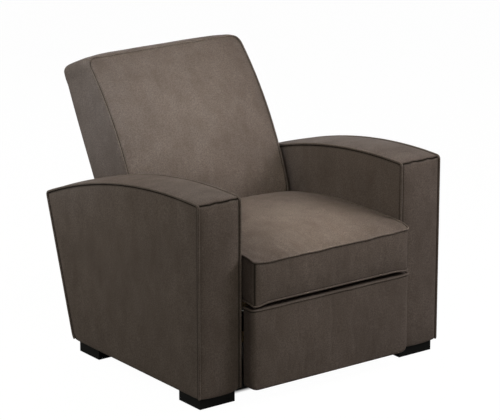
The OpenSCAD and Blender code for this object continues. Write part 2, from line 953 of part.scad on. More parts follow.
module back_brackets() {
    foot = on_back_point(-bracket_inset, bracket_foot);
    top = on_back_point(-bracket_inset, bracket_reach);
    color(steel_colour) from_front() both_sides() difference() {
        across(bracket_x, plate) {
            bar(back_pivot, foot, bracket_half);
            bar(foot, top, bracket_half);
            translate(guide_pin) circle(r = bracket_half + 1);
        }
        rod(back_pivot, bracket_x - 1, plate + 2, pivot_bolt_radius + play);
        rod(guide_pin, bracket_x - 1, plate + 2, guide_pin_radius);
    }
}

// The [y, z] place in the seat's frame of a point in the back's own frame
function on_back_point(y, z) = back_foot + [
    y * cos(back_lean) + z * sin(back_lean), z * cos(back_lean) - y * sin(back_lean)];

module back_guide_pins() {
    color(bright_colour) from_front() both_sides() {
        rod(guide_pin, bracket_x, arm_inner - track_wall - 1 - bracket_x, guide_pin_radius);
        rod(guide_pin, bracket_x - 2, 2, guide_pin_radius + 3);
    }
}

// ---------------------------------------------------------------- the whole seat

arm_frame("left");  // arm_frame_left
arm_frame("right");  // arm_frame_right
arm_outer_cover("left");  // arm_outer_cover_left
arm_outer_cover("right");  // arm_outer_cover_right
arm_inner_cover("left");  // arm_inner_cover_left
arm_inner_cover("right");  // arm_inner_cover_right
arm_top_cover("left");  // arm_top_cover_left
arm_top_cover("right");  // arm_top_cover_right
arm_front_cover("left");  // arm_front_cover_left
arm_front_cover("right");  // arm_front_cover_right
foot(foot_front_y, "left");  // foot_front_left
foot(foot_front_y, "right");  // foot_front_right
foot(foot_rear_y, "left");  // foot_rear_left
foot(foot_rear_y, "right");  // foot_rear_right
foot_glides();
foot_bolts();
base_front_rail();
base_rear_rail();
rear_valance();
seat_track("left");  // seat_track_left
seat_track("right");  // seat_track_right
track_screws();
back_guides();
seat_plate("left");  // seat_plate_left
seat_plate("right");  // seat_plate_right
seat_side_rail("left");  // seat_side_rail_left
seat_side_rail("right");  // seat_side_rail_right
seat_front_rail();
seat_rear_rail();
seat_springs();
spring_clips();
seat_deck();
seat_cushion();
glide_shoes();
seat_screws();
dust_cover();
seat_plate_rivets();
back_pivot_bolts();
front_links();
torque_tube();
front_link_rivets();
rear_links();
rear_link_rivets();
carrier_plates();
control_links();
footrest_board();
footrest_pad();
footrest_brackets();
footrest_rivets();
footrest_screws();
closing_springs();
back_stiles();
back_rails();
back_springs();
back_cushion();
back_shell();
back_brackets();
back_guide_pins();
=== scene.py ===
"""Cinema recliner seat: upholstery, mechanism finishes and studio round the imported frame."""

import logging
import math
from dataclasses import dataclass, field
from enum import Enum
from functools import cache
from typing import Sequence

import bmesh
import bpy
import numpy as np
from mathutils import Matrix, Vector, noise


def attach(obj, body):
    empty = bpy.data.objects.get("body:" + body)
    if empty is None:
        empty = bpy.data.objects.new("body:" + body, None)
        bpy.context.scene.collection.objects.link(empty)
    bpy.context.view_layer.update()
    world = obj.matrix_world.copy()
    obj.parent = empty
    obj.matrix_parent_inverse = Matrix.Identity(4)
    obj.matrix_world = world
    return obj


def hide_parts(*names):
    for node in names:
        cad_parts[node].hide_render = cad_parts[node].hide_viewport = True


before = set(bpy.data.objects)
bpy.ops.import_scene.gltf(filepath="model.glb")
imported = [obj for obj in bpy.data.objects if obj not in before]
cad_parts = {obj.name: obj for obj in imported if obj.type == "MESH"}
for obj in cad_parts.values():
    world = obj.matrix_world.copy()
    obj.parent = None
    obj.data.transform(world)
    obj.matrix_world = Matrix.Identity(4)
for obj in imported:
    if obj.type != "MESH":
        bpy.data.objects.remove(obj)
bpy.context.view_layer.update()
LOG = logging.getLogger("recliner")

FRONT = -0.4337985  # Y of the arms' front face
ARM_INNER = 0.3005
ARM_OUTER = 0.445
FOOT_TOP = 0.0364
WELT_STEP = 0.005  # between the points of a welt's path
Colour = tuple[float, float, float]
Feed = bpy.types.NodeSocket | float | Colour  # what a node's input takes


class Side(Enum):
    """The sitter's own sides, with the sign of X."""

    LEFT = 1
    RIGHT = -1

    @property
    def word(self) -> str:
        """The side's name, as the nodes have it."""
        return self.name.lower()


# ------------------------------------------------------------------ node trees


class Tree:
    """Adds nodes to a node tree and joins them up as it goes."""

    def __init__(self, tree: bpy.types.NodeTree) -> None:
        """Takes the tree to write in."""
        self.tree = tree

    def add(self, kind: str, sockets: dict | None = None, **settings) -> bpy.types.Node:
        """Adds one node.

        Args:
            kind: The node's type.
            sockets: Input name or number to a value, or to the output that feeds it.
            settings: Properties of the node.
        Returns:
            The new node.
        """
        node = self.tree.nodes.new(kind)
        for key, value in settings.items():
            setattr(node, key, value)
        for key, value in (sockets or {}).items():
            if isinstance(value, bpy.types.NodeSocket):
                self.tree.links.new(value, node.inputs[key])
            else:
                node.inputs[key].default_value = value
        return node

    def math(self, operation: str, a: Feed, b: Feed = 0.0,
             clamp: bool = False) -> bpy.types.NodeSocket:
        """The output of a Math node on a and b."""
        node = self.add("ShaderNodeMath", {0: a, 1: b}, operation=operation, use_clamp=clamp)
        return node.outputs[0]

    def mix(self, share: Feed, a: Feed, b: Feed) -> bpy.types.NodeSocket:
        """The colour that lies at share between colours a and b.

        Args:
            share: A number or an output, 0 for a and 1 for b.
            a: A colour or an output.
            b: A colour or an output.
        Returns:
            The mixed colour's output.
        """
        node = self.add("ShaderNodeMix", data_type="RGBA")
        for key, value in ((0, share), (6, a), (7, b)):
            if isinstance(value, bpy.types.NodeSocket):
                self.tree.links.new(value, node.inputs[key])
            elif key == 0:
                node.inputs[key].default_value = value
            else:
                node.inputs[key].default_value = (*value, 1.0)
        return node.outputs[2]

    def reach(self, value: Feed, low: float, high: float, to_low: float = 0.0,
              to_high: float = 1.0) -> bpy.types.NodeSocket:
        """The value carried from low..high to to_low..to_high, held at the ends.

        Args:
            value: The output to carry.
            low: What becomes to_low.
            high: What becomes to_high.
            to_low: The lower result.
            to_high: The higher result.
        Returns:
            The carried value's output.
        """
        node = self.add("ShaderNodeMapRange", {
            "Value": value, "From Min": low, "From Max": high, "To Min": to_low, "To Max": to_high})
        return node.outputs[0]

    def line(self, value: Feed, slope: float, base: Feed,
             clamp: bool = False) -> bpy.types.NodeSocket:
        """The value times a slope, on top of a base."""
        return self.math("ADD", self.math("MULTIPLY", value, slope), base, clamp)

    def noise(self, place: Feed, scale: Feed, detail: float = 2.0,
              **more: float) -> bpy.types.NodeSocket:
        """The factor of a noise texture at a place."""
        return self.add("ShaderNodeTexNoise", {
            "Vector": place, "Scale": scale, "Detail": detail, **more}).outputs[0]

    def stretched(self, place: Feed, scale: Sequence[float]) -> bpy.types.NodeSocket:
        """A place, scaled along its axes."""
        return self.add("ShaderNodeMapping", {"Vector": place, "Scale": scale}).outputs[0]

    def group(self, group: bpy.types.NodeTree, place: Feed) -> bpy.types.Node:
        """A shared group's node, at a place."""
        return self.add("ShaderNodeGroup", {"Vector": place}, node_tree=group)

    def join(self, source: bpy.types.NodeSocket, node: bpy.types.Node, key: str | int) -> None:
        """Feeds a node's input from an output."""
        self.tree.links.new(source, node.inputs[key])

    def relief(self, shader: bpy.types.Node, height: Feed, strength: float,
               distance: float) -> None:
        """Gives a shader relief from a height.

        Args:
            shader: The node whose normal takes it.
            height: The height's output.
            strength: How much of it shows.
            distance: What a height of 1 is, in metres.
        """
        bump = self.add("ShaderNodeBump", {
            "Strength": strength, "Distance": distance, "Height": height})
        self.join(bump.outputs[0], shader, "Normal")


def cleared(owner: bpy.types.Material | bpy.types.World) -> Tree:
    """The emptied node tree of a material or a world.

    Args:
        owner: The material or the world.
    Returns:
        Its tree.
    """
    owner.use_nodes = True
    owner.node_tree.nodes.clear()
    return Tree(owner.node_tree)


class EffectGroups:
    """Shader node groups that several finishes share, each built once."""

    def _new(self, name: str, sizes: dict[str, float], outputs: Sequence[str]
             ) -> tuple[Tree, bpy.types.Node, bpy.types.Node]:
        """Starts a group with a Vector input, float inputs with their values and float outputs.

        Args:
            name: The group's name.
            sizes: The float inputs and their values.
            outputs: The float outputs.
        Returns:
            The group's tree, its input node and its output node.
        """
        group = bpy.data.node_groups.new(name, "ShaderNodeTree")
        face = group.interface
        face.new_socket("Vector", in_out="INPUT", socket_type="NodeSocketVector")
        for label, value in sizes.items():
            socket = face.new_socket(label, in_out="INPUT", socket_type="NodeSocketFloat")
            socket.default_value = value
        for label in outputs:
            face.new_socket(label, in_out="OUTPUT", socket_type="NodeSocketFloat")
        tree = Tree(group)
        return tree, tree.add("NodeGroupInput"), tree.add("NodeGroupOutput")

    @cache
    def mottle(self) -> bpy.types.NodeTree:
        """Soft clouds, upright streaks and specks, as dye takes in a hide.

        Returns:
            The group.
        """
        tree, start, end = self._new("hide mottle", {
            "Cloud Size": 11.0, "Streak Size": 22.0, "Speck Size": 300.0},
            ["Cloud", "Streak", "Speck"])
        where, cloud, streak, speck = start.outputs[:4]
        tall = tree.stretched(where, (1, 1, 0.45))
        for i, (value, low, high) in enumerate((
                (tree.noise(where, cloud, 3.0), 0.32, 0.68),
                (tree.noise(tall, streak, 3.0, Roughness=0.6, Distortion=0.4), 0.34, 0.66),
                (tree.noise(where, speck), 0.36, 0.64))):
            tree.join(tree.reach(value, low, high), end, i)
        return tree.tree

    @cache
    def grain(self) -> bpy.types.NodeTree:
        """Pebbled cells with pores in the furrows between them.

        Returns:
            The group.
        """
        tree, start, end = self._new("hide grain", {"Cell Size": 640.0}, ["Height", "Furrow"])
        warp = tree.add("ShaderNodeTexNoise", {"Vector": start.outputs[0], "Scale": 180.0})
        push = tree.add("ShaderNodeVectorMath", {0: warp.outputs[1], 1: (0.0016,) * 3},
                        operation="MULTIPLY")
        moved = tree.add("ShaderNodeVectorMath", {0: start.outputs[0], 1: push.outputs[0]})
        cells = tree.add("ShaderNodeTexVoronoi", {
            "Vector": moved.outputs[0], "Scale": start.outputs[1]}, feature="SMOOTH_F1")
        fine = tree.noise(start.outputs[0], 2600.0)
        furrow = tree.reach(cells.outputs[0], 0.45, 0.8)
        tree.join(tree.math("SUBTRACT", tree.math("MULTIPLY", fine, 0.35), furrow), end, 0)
        tree.join(furrow, end, 1)
        return tree.tree

    @cache
    def wear(self) -> bpy.types.NodeTree:
        """Rubbed patches and scratches.

        Returns:
            The group.
        """
        tree, start, end = self._new("rubbed patches", {
            "Patch Size": 30.0, "Scratch Size": 260.0}, ["Patch", "Scratch"])
        where, patch, scratch = start.outputs[:3]
        drawn = tree.stretched(where, (1, 0.08, 1))
        tree.join(tree.reach(tree.noise(where, patch, 5.0, Roughness=0.65), 0.4, 0.7), end, 0)
        tree.join(tree.reach(tree.noise(drawn, scratch, 3.0), 0.45, 0.75), end, 1)
        return tree.tree


GROUPS = EffectGroups()


class Finish:
    """What every finish can do: start its material."""

    name: str

    def start(self) -> tuple[bpy.types.Material, Tree, bpy.types.Node, bpy.types.NodeSocket]:
        """Makes a new material of the finish's name.

        Returns:
            The material, its tree, its Principled node and the place on the piece.
        """
        material = bpy.data.materials.new(self.name)
        tree = cleared(material)
        shader = tree.add("ShaderNodeBsdfPrincipled")
        tree.add("ShaderNodeOutputMaterial", {0: shader.outputs[0]})
        return material, tree, shader, tree.add("ShaderNodeTexCoord").outputs["Object"]


@dataclass(frozen=True)
class Leather(Finish):
    """Aniline leather with fine grain: mottled, soft sheen, and darker in the seams, from dye in
    the stitching and painted shade in the grooves beside the welts.
    """

    name: str
    base: Colour = (0.151, 0.118, 0.103)
    dark: Colour = (0.078, 0.060, 0.052)
    light: Colour = (0.227, 0.182, 0.164)
    # near-black seam colour: dye in the stitching and painted shade of the grooves beside the welts
    seam: Colour = (0.010, 0.008, 0.006)
    clouded: float = 0.36
    streaked: float = 0.32
    specked: float = 0.60
    furrowed: float = 0.24
    roughness: float = 0.56
    gloss: float = 0.04

    def build(self) -> bpy.types.Material:
        """Makes the material.

        Returns:
            The material.
        """
        material, tree, shader, where = self.start()
        hide, grain = tree.group(GROUPS.mottle(), where), tree.group(GROUPS.grain(), where)
        seam = tree.add("ShaderNodeAttribute", attribute_name="seam_dye_and_shade").outputs["Fac"]
        furrow = grain.outputs["Furrow"]
        cloud, streak, speck = hide.outputs[:3]
        tone = self.base
        for share, part, other in (
                (cloud, self.clouded, self.dark), (streak, self.streaked, self.light),
                (speck, self.specked, self.dark), (furrow, self.furrowed, self.dark)):
            tone = tree.mix(tree.math("MULTIPLY", share, part), tone, other)
        # near the seams the colour goes towards near-black: dye in the stitching and painted shade
        # of the grooves
        tree.join(tree.mix(seam, tone, self.seam), shader, "Base Color")
        rough = tree.line(cloud, 0.10, self.roughness - 0.05)
        rough = tree.line(seam, 0.45, tree.line(furrow, 0.14, rough), True)
        tree.join(rough, shader, "Roughness")
        tree.relief(shader, grain.outputs["Height"], 0.5, 0.00022)
        shader.inputs["Specular IOR Level"].default_value = self.gloss
        return material


@dataclass(frozen=True)
class Wood(Finish):
    """Wood with grain along Y or X: bare, or under black lacquer."""

    name: str
    base: Colour
    dark: Colour
    roughness: float
    gloss: float = 0.5
    stretch: tuple[float, float, float] = (1.0, 0.06, 1.0)

    def build(self) -> bpy.types.Material:
        """Makes the material.

        Returns:
            The material.
        """
        material, tree, shader, where = self.start()
        along = tree.stretched(where, self.stretch)
        rings = tree.noise(along, 120.0, 6.0, Roughness=0.6, Distortion=0.6)
        patch = tree.group(GROUPS.wear(), where).outputs["Patch"]
        share = tree.reach(rings, 0.35, 0.7)
        tree.join(tree.mix(share, self.base, self.dark), shader, "Base Color")
        tree.join(tree.line(patch, 0.14, self.roughness), shader, "Roughness")
        tree.relief(shader, share, 0.35, 0.0003)
        shader.inputs["Specular IOR Level"].default_value = self.gloss
        return material


@dataclass(frozen=True)
class Metal(Finish):
    """Plated or powder-coated steel with rubbed patches."""

    name: str
    base: Colour
    worn: Colour
    metallic: float
    roughness: float

    def build(self) -> bpy.types.Material:
        """Makes the material.

        Returns:
            The material.
        """
        material, tree, shader, where = self.start()
        wear = tree.group(GROUPS.wear(), where)
        tone = tree.mix(tree.math("MULTIPLY", wear.outputs["Patch"], 0.6), self.base, self.worn)
        tree.join(tone, shader, "Base Color")
        shader.inputs["Metallic"].default_value = self.metallic
        tree.join(tree.line(wear.outputs["Scratch"], 0.16, self.roughness), shader, "Roughness")
        tree.relief(shader, tree.noise(where, 900.0), 0.4, 0.0002)
        return material


@dataclass(frozen=True)
class Plastic(Finish):
    """Moulded nylon."""

    name: str
    base: Colour
    dark: Colour
    roughness: float = 0.45

    def build(self) -> bpy.types.Material:
        """Makes the material.

        Returns:
            The material.
        """
        material, tree, shader, where = self.start()
        wear = tree.group(GROUPS.wear(), where)
        tree.join(tree.mix(wear.outputs["Patch"], self.base, self.dark), shader, "Base Color")
        tree.join(tree.line(wear.outputs["Scratch"], 0.2, self.roughness), shader, "Roughness")
        return material


@dataclass(frozen=True)
class Cambric(Finish):
    """Black non-woven and woven lining cloth."""

    name: str
    base: Colour = (0.012, 0.012, 0.013)
    light: Colour = (0.05, 0.05, 0.052)
    threads: float = 900.0

    def build(self) -> bpy.types.Material:
        """Makes the material.

        Returns:
            The material.
        """
        material, tree, shader, where = self.start()
        threads = [tree.add("ShaderNodeTexWave", {
            "Vector": where, "Scale": self.threads / 6.0, "Distortion": 0.6},
            bands_direction=axis).outputs[1] for axis in ("X", "Y")]
        weave = tree.math("MULTIPLY", *threads)
        tree.join(tree.mix(weave, self.base, self.light), shader, "Base Color")
        shader.inputs["Roughness"].default_value = 0.9
        tree.relief(shader, weave, 0.6, 0.0003)
        return material


@dataclass
class Finishes:
    """All the finishes of the seat, by the record's slots."""

    leather: bpy.types.Material = field(init=False)
    welt: bpy.types.Material = field(init=False)
    slots: dict[str, bpy.types.Material] = field(init=False)

    def __post_init__(self) -> None:
        """Makes every material."""
        self.leather = Leather("taupe leather").build()
        # the welts get the same leather painted lighter: a painted highlight on the raised beads
        self.welt = Leather("taupe leather welt", base=(0.169, 0.134, 0.118),
                            light=(0.237, 0.192, 0.172), roughness=0.52).build()
        self.slots = {
            "leather": self.leather,
            "black_wood": Wood("black lacquered wood", (0.0022, 0.0022, 0.0022),
                               (0.005, 0.0048, 0.0045), 0.50, 0.12).build(),
            "frame_wood": Wood("bare frame wood", (0.55, 0.38, 0.21), (0.36, 0.23, 0.11),
                               0.62).build(),
            "mechanism": Metal("black coated steel", (0.018, 0.018, 0.020), (0.05, 0.05, 0.05),
                               0.15, 0.42).build(),
            "zinc_steel": Metal("zinc plated steel", (0.56, 0.57, 0.58), (0.40, 0.40, 0.41),
                                1.0, 0.28).build(),
            "spring_steel": Metal("oiled spring steel", (0.30, 0.30, 0.31), (0.16, 0.15, 0.15),
                                  1.0, 0.32).build(),
            "nylon": Plastic("white nylon", (0.68, 0.67, 0.62), (0.50, 0.48, 0.43)).build(),
            "black_fabric": Cambric("black cambric").build(),
        }

    def dress_nodes(self) -> None:
        """Gives every CAD node the finish of its slot."""
        for name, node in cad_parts.items():
            slots = node.data.materials
            for i, old in enumerate(slots):
                slots[i] = self.slots[old.name.split(".")[0]]
            LOG.info("finished node %s", name)


# ------------------------------------------------------------------ shapes


def ease(t: np.ndarray | float) -> np.ndarray:
    """A smooth step from 0 to 1."""
    t = np.clip(t, 0.0, 1.0)
    return t * t * (3 - 2 * t)


def through(at: np.ndarray, marks: Sequence[float], values: Sequence[float]) -> np.ndarray:
    """A smooth curve through the values at the marks, read at some places.

    Args:
        at: Where the curve is read.
        marks: The places that have a value, in order.
        values: Their values.
    Returns:
        The curve's value at each place.
    """
    marks, values = np.array(marks), np.array(values)
    slopes = np.gradient(values, marks)
    at = np.clip(at, marks[0], marks[-1])
    i = np.clip(np.searchsorted(marks, at, side="right") - 1, 0, len(marks) - 2)
    gap = marks[i + 1] - marks[i]
    t = (at - marks[i]) / gap
    return ((1 + 2 * t) * (1 - t) ** 2 * values[i] + t * (1 - t) ** 2 * gap * slopes[i]
            + t * t * (3 - 2 * t) * values[i + 1] - t * t * (1 - t) * gap * slopes[i + 1])


def at_shares(path: np.ndarray, shares: np.ndarray) -> np.ndarray:
    """The points of a path at shares of its length.

    Args:
        path: The path's points.
        shares: Shares of its length, from 0 to 1.
    Returns:
        One point for each share.
    """
    step = np.linalg.norm(np.diff(path, axis=0), axis=1)
    run = np.concatenate([[0.0], np.cumsum(step)])
    return np.stack([np.interp(shares * run[-1], run, path[:, k])
                     for k in range(path.shape[1])], axis=1)


def length_of(path: np.ndarray) -> float:
    """The length of a path."""
    return float(np.linalg.norm(np.diff(path, axis=0), axis=1).sum())


def rows(length: float, count: int, close: Sequence[float] = (0.0015, 0.0032, 0.0054, 0.010)
         ) -> np.ndarray:
    """Shares of a length for rows of points that stand closer near both ends.

    Args:
        length: The length in metres.
        count: How many rows stand evenly between the close ones.
        close: Distances of the close rows from each end.
    Returns:
        The shares, from 0 to 1.
    """
    middle = np.linspace(close[-1], length - close[-1], count)
    marks = [0.0, *close[:-1], *middle, *(length - c for c in reversed(close[:-1])), length]
    return np.array(marks) / length


def straight(a: Sequence[float], b: Sequence[float], count: int = 60) -> np.ndarray:
    """A straight path from a to b."""
    return np.linspace(np.array(a, float), np.array(b, float), count)


def soften(edges: list[np.ndarray], trims: Sequence[float]) -> list[np.ndarray]:
    """Rounds the corners of a closed outline.

    Args:
        edges: The outline's edges in order, each from one corner to the next.
        trims: For each edge's first corner, how far from the corner the round starts.
    Returns:
        The edges, each with half of the round at both of its ends.
    """
    count, cut = len(edges), []
    for i, edge in enumerate(edges):
        run = length_of(edge)
        low, high = trims[i] / run, 1 - trims[(i + 1) % count] / run
        cut.append(at_shares(edge, np.linspace(low, high, 90)))
    done = []
    for i, edge in enumerate(cut):
        before, after = cut[i - 1], cut[(i + 1) % count]
        t = np.linspace(0.5, 1, 9)[:, None]
        first = (1 - t) ** 2 * before[-1] + 2 * t * (1 - t) * edges[i][0] + t * t * edge[0]
        t = np.linspace(0, 0.5, 9)[:, None]
        last = (1 - t) ** 2 * edge[-1] + 2 * t * (1 - t) * edges[i][-1] + t * t * after[0]
        done.append(np.concatenate([first, edge[1:-1], last]))
    return done


def coons(low: np.ndarray, high: np.ndarray, left: np.ndarray, right: np.ndarray,
          u: np.ndarray, v: np.ndarray) -> np.ndarray:
    """A patch between four edges.

    Args:
        low: The points of the edge at v = 0, one for each of u.
        high: The edge at v = 1, one for each of u.
        left: The edge at u = 0, one for each of v.
        right: The edge at u = 1, one for each of v.
        u: Shares of the columns.
        v: Shares of the rows.
    Returns:
        The grid of points, rows by columns.
    """
    s, t = u[None, :, None], v[:, None, None]
    corner = ((1 - s) * (1 - t) * low[0] + s * (1 - t) * low[-1]
              + (1 - s) * t * high[0] + s * t * high[-1])
    across = (1 - t) * low[None] + t * high[None]
    return across + (1 - s) * left[:, None] + s * right[:, None] - corner


def strip(one: np.ndarray, other: np.ndarray, shares: np.ndarray) -> np.ndarray:
    """A grid of rows from one path to another of the same count."""
    t = shares[:, None, None]
    return (1 - t) * one[None] + t * other[None]


def distance(points: np.ndarray, seams: Sequence[np.ndarray]) -> np.ndarray:
    """The distance of each point of a grid to the nearest seam.

    Args:
        points: The grid.
        seams: The seams' points, in order along each.
    Returns:
        The distances, shaped as the grid.
    """
    start = np.concatenate([seam[:-1] for seam in seams])
    way = np.concatenate([np.diff(seam, axis=0) for seam in seams])
    square = np.maximum((way ** 2).sum(1), 1e-16)
    flat, found = points.reshape(-1, 3), []
    for i in range(0, len(flat), 400):
        off = flat[i:i + 400, None] - start
        share = np.clip((off * way).sum(-1) / square, 0, 1)
        off -= share[..., None] * way
        found.append(np.sqrt((off ** 2).sum(-1).min(1)))
    return np.concatenate(found).reshape(points.shape[:-1])


def evenly(path: np.ndarray) -> np.ndarray:
    """A welt's path, with points about a step apart."""
    return at_shares(path, np.linspace(0, 1, int(length_of(path) / WELT_STEP)))


def rectangle(half: float, low: float, high: float) -> list[np.ndarray]:
    """The edges of a rectangle, counter-clockwise from its lower left corner."""
    a, b, c, d = (-half, low), (half, low), (half, high), (-half, high)
    return [straight(a, b), straight(b, c), straight(c, d), straight(d, a)]


def inside(ring: list[np.ndarray], u: np.ndarray, v: np.ndarray) -> np.ndarray:
    """The patch inside a ring of four edges that run round it."""
    return coons(ring[0], ring[2][::-1], ring[3][::-1], ring[1], u, v)


def normals_of(ring: np.ndarray) -> np.ndarray:
    """The outward normals of a closed path that runs counter-clockwise in a plane.

    Args:
        ring: The path's points, of which the first two numbers count.
    Returns:
        A unit normal for each point.
    """
    way = np.roll(ring, -1, 0) - np.roll(ring, 1, 0)
    normal = np.stack([way[:, 1], -way[:, 0]], 1)
    return normal / np.linalg.norm(normal, axis=1, keepdims=True)


def plump(away: np.ndarray, rise: float, reach: float) -> np.ndarray:
    """How far padding stands up at a distance from its seam."""
    return rise * (1 - np.exp(-away / reach))


def ripple(points: np.ndarray, size: float, seed: float) -> np.ndarray:
    """Smooth noise from -1 to 1 at each point, with waves of a size in metres."""
    flat = points.reshape(-1, 3) / size + seed
    return np.array([noise.noise(Vector(p)) for p in flat]).reshape(points.shape[:-1])


def crumple(points: np.ndarray, height: float, size: float, seed: float, away: np.ndarray,
            reach: float) -> np.ndarray:
    """Ripples of a height and size, which fade out towards the seams."""
    return height * ripple(points, size, seed) * (1 - np.exp(-away / reach))


@dataclass
class Shell:
    """Patches of points that are sewn into one closed mesh."""

    name: str
    points: list[np.ndarray] = field(default_factory=list)
    faces: list[tuple[int, ...]] = field(default_factory=list)
    seam_dye_and_shades: list[np.ndarray] = field(default_factory=list)
    fixed: list[np.ndarray] = field(default_factory=list)
    count: int = 0

    def patch(self, grid: np.ndarray, seam_dye_and_shade: np.ndarray | None = None,
              fixed: np.ndarray | float = 0.0) -> None:
        """Adds a patch.

        Args:
            grid: Its points, rows by columns.
            seam_dye_and_shade: How dark each point is painted near the seams, for dye in the
                stitching and painted shade in the grooves.
            fixed: How firmly each point is held when the padding swells.
        """
        lines, columns = grid.shape[:2]
        start = self.count
        self.points.append(grid.reshape(-1, 3))
        self.seam_dye_and_shades.append((np.zeros(grid.shape[:2]) if seam_dye_and_shade is None else seam_dye_and_shade).reshape(-1))
        self.fixed.append(np.broadcast_to(fixed, grid.shape[:2]).reshape(-1))
        for i in range(lines - 1):
            for j in range(columns - 1):
                a = start + i * columns + j
                self.faces.append((a, a + 1, a + columns + 1, a + columns))
        self.count += lines * columns

    def sew(self, material: bpy.types.Material) -> bpy.types.Object:
        """Joins the patches and gives the object.

        Args:
            material: The finish.
        Returns:
            The closed piece.
        """
        mesh = bpy.data.meshes.new(self.name)
        mesh.from_pydata(np.concatenate(self.points).tolist(), [], self.faces)
        # the seams' darkening goes on each point: dye in the stitching and painted shade of the
        # grooves
        for label, values in (("seam_dye_and_shade", self.seam_dye_and_shades), ("fixed", self.fixed)):
            layer = mesh.attributes.new(label, "FLOAT", "POINT")
            layer.data.foreach_set("value", np.concatenate(values).astype(np.float32))
        work = bmesh.new()
        work.from_mesh(mesh)
        bmesh.ops.remove_doubles(work, verts=work.verts, dist=0.00008)
        bmesh.ops.recalc_face_normals(work, faces=work.faces)
        for face in work.faces:
            face.smooth = True
        work.to_mesh(mesh)
        open_edges = sum(1 for e in work.edges if len(e.link_faces) != 2)
        work.free()
        if open_edges:
            LOG.warning("%s has %d open edges", self.name, open_edges)
        mesh.materials.append(material)
        piece = bpy.data.objects.new(self.name, mesh)
        bpy.context.scene.collection.objects.link(piece)
        return piece


def refine(piece: bpy.types.Object) -> None:
    """Adds a subdivision to a piece."""
    smooth = piece.modifiers.new("smooth", "SUBSURF")
    smooth.levels = smooth.render_levels = 1


def darken(away: np.ndarray, width: float = 0.0055, depth: float = 0.9) -> np.ndarray:
    """How dark the leather is painted near its seam, for dye in the stitching and painted shade in
    the groove: full to half the width, then fading.
    """
    return depth * (1 - ease((away - 0.5 * width) / (0.8 * width)))


def shade(points: np.ndarray, seams: Sequence[np.ndarray], width: float = 0.0055,
          depth: float = 0.9) -> np.ndarray:
    """How dark the leather is painted at each point beside some seams: dye and painted shade in the
    grooves.
    """
    return darken(distance(points, seams), width, depth)


def bow(count: int, seed: float, height: float) -> np.ndarray:
    """A gentle wander along a seam, zero at both ends.

    Args:
        count: How many points the seam has.
        seed: Where the wander starts.
        height: About how far it goes.
    Returns:
        The wander at each point.
    """
    t = np.linspace(0, 1, count)
    wander = np.sin(t * 17 + seed) + 0.6 * np.sin(t * 31 + 2 * seed)
    return height * wander * np.clip(6 * t, 0, 1) * np.clip(6 * (1 - t), 0, 1)


# ------------------------------------------------------------------ things that follow a path


class PathTube:
    """A node tree that lays a round bead or wire along a path of edges."""

    def __init__(self) -> None:
        """Builds the tree."""
        group = bpy.data.node_groups.new("round bead along a path", "GeometryNodeTree")
        face = group.interface
        face.new_socket("Path", in_out="INPUT", socket_type="NodeSocketGeometry")
        self.names = {}
        for label, kind in (("Radius", "Float"), ("Sides", "Int"), ("Unevenness", "Float"),
                            ("Waves", "Float"), ("Finish", "Material")):
            socket = face.new_socket(label, in_out="INPUT", socket_type=f"NodeSocket{kind}")
            self.names[label] = socket.identifier
        face.new_socket("Bead", in_out="OUTPUT", socket_type="NodeSocketGeometry")
        tree = Tree(group)
        start, end = tree.add("NodeGroupInput"), tree.add("NodeGroupOutput")
        curve = tree.add("GeometryNodeMeshToCurve", {"Mesh": start.outputs["Path"]})
        place = tree.add("GeometryNodeInputPosition")
        waves = tree.noise(place.outputs[0], start.outputs["Waves"], 1.0)
        swing = tree.math("MULTIPLY", tree.math("SUBTRACT", waves, 0.5),
                          start.outputs["Unevenness"])
        ring = tree.add("GeometryNodeCurvePrimitiveCircle", {
            "Resolution": start.outputs["Sides"], "Radius": start.outputs["Radius"]})
        tube = tree.add("GeometryNodeCurveToMesh", {
            "Curve": curve.outputs[0], "Profile Curve": ring.outputs[0],
            "Scale": tree.math("ADD", swing, 1.0), "Fill Caps": True})
        smooth = tree.add("GeometryNodeSetShadeSmooth", {"Geometry": tube.outputs[0]})
        whole = tree.add("GeometryNodeRealizeInstances", {"Geometry": smooth.outputs[0]})
        last = tree.add("GeometryNodeSetMaterial", {
            "Geometry": whole.outputs[0], "Material": start.outputs["Finish"]})
        group.links.new(last.outputs[0], end.inputs[0])
        self.group = group

    def lay(self, name: str, paths: Sequence[np.ndarray], radius: float,
            material: bpy.types.Material, closed: bool = False, sides: int = 10,
            unevenness: float = 0.12, waves: float = 60.0) -> bpy.types.Object:
        """Lays beads along paths.

        Args:
            name: The new object's name.
            paths: The points of each path, in metres.
            radius: The bead's radius.
            material: Its finish.
            closed: Whether each path returns to its start.
            sides: Points round the bead.
            unevenness: How much the radius varies.
            waves: How often it varies, per metre.
        Returns:
            A plain mesh object at the origin.
        """
        points, edges, count = [], [], 0
        for path in paths:
            many = len(path)
            points.extend(path.tolist())
            edges.extend((count + i, count + i + 1) for i in range(many - 1))
            if closed:
                edges.append((count + many - 1, count))
            count += many
        mesh = bpy.data.meshes.new(name + " path")
        mesh.from_pydata(points, edges, [])
        piece = bpy.data.objects.new(name + "_path", mesh)
        bpy.context.scene.collection.objects.link(piece)
        layer = piece.modifiers.new("bead", "NODES")
        layer.node_group = self.group
        for label, value in (("Radius", radius), ("Sides", sides), ("Unevenness", unevenness),
                             ("Waves", waves), ("Finish", material)):
            layer[self.names[label]] = value
        graph = bpy.context.evaluated_depsgraph_get()
        graph.update()
        made = bpy.data.meshes.new_from_object(piece.evaluated_get(graph))
        bpy.data.objects.remove(piece)
        work = bmesh.new()
        work.from_mesh(made)
        bmesh.ops.recalc_face_normals(work, faces=work.faces)
        work.to_mesh(made)
        work.free()
        done = bpy.data.objects.new(name, made)
        bpy.context.scene.collection.objects.link(done)
        return done


# ------------------------------------------------------------------ padding


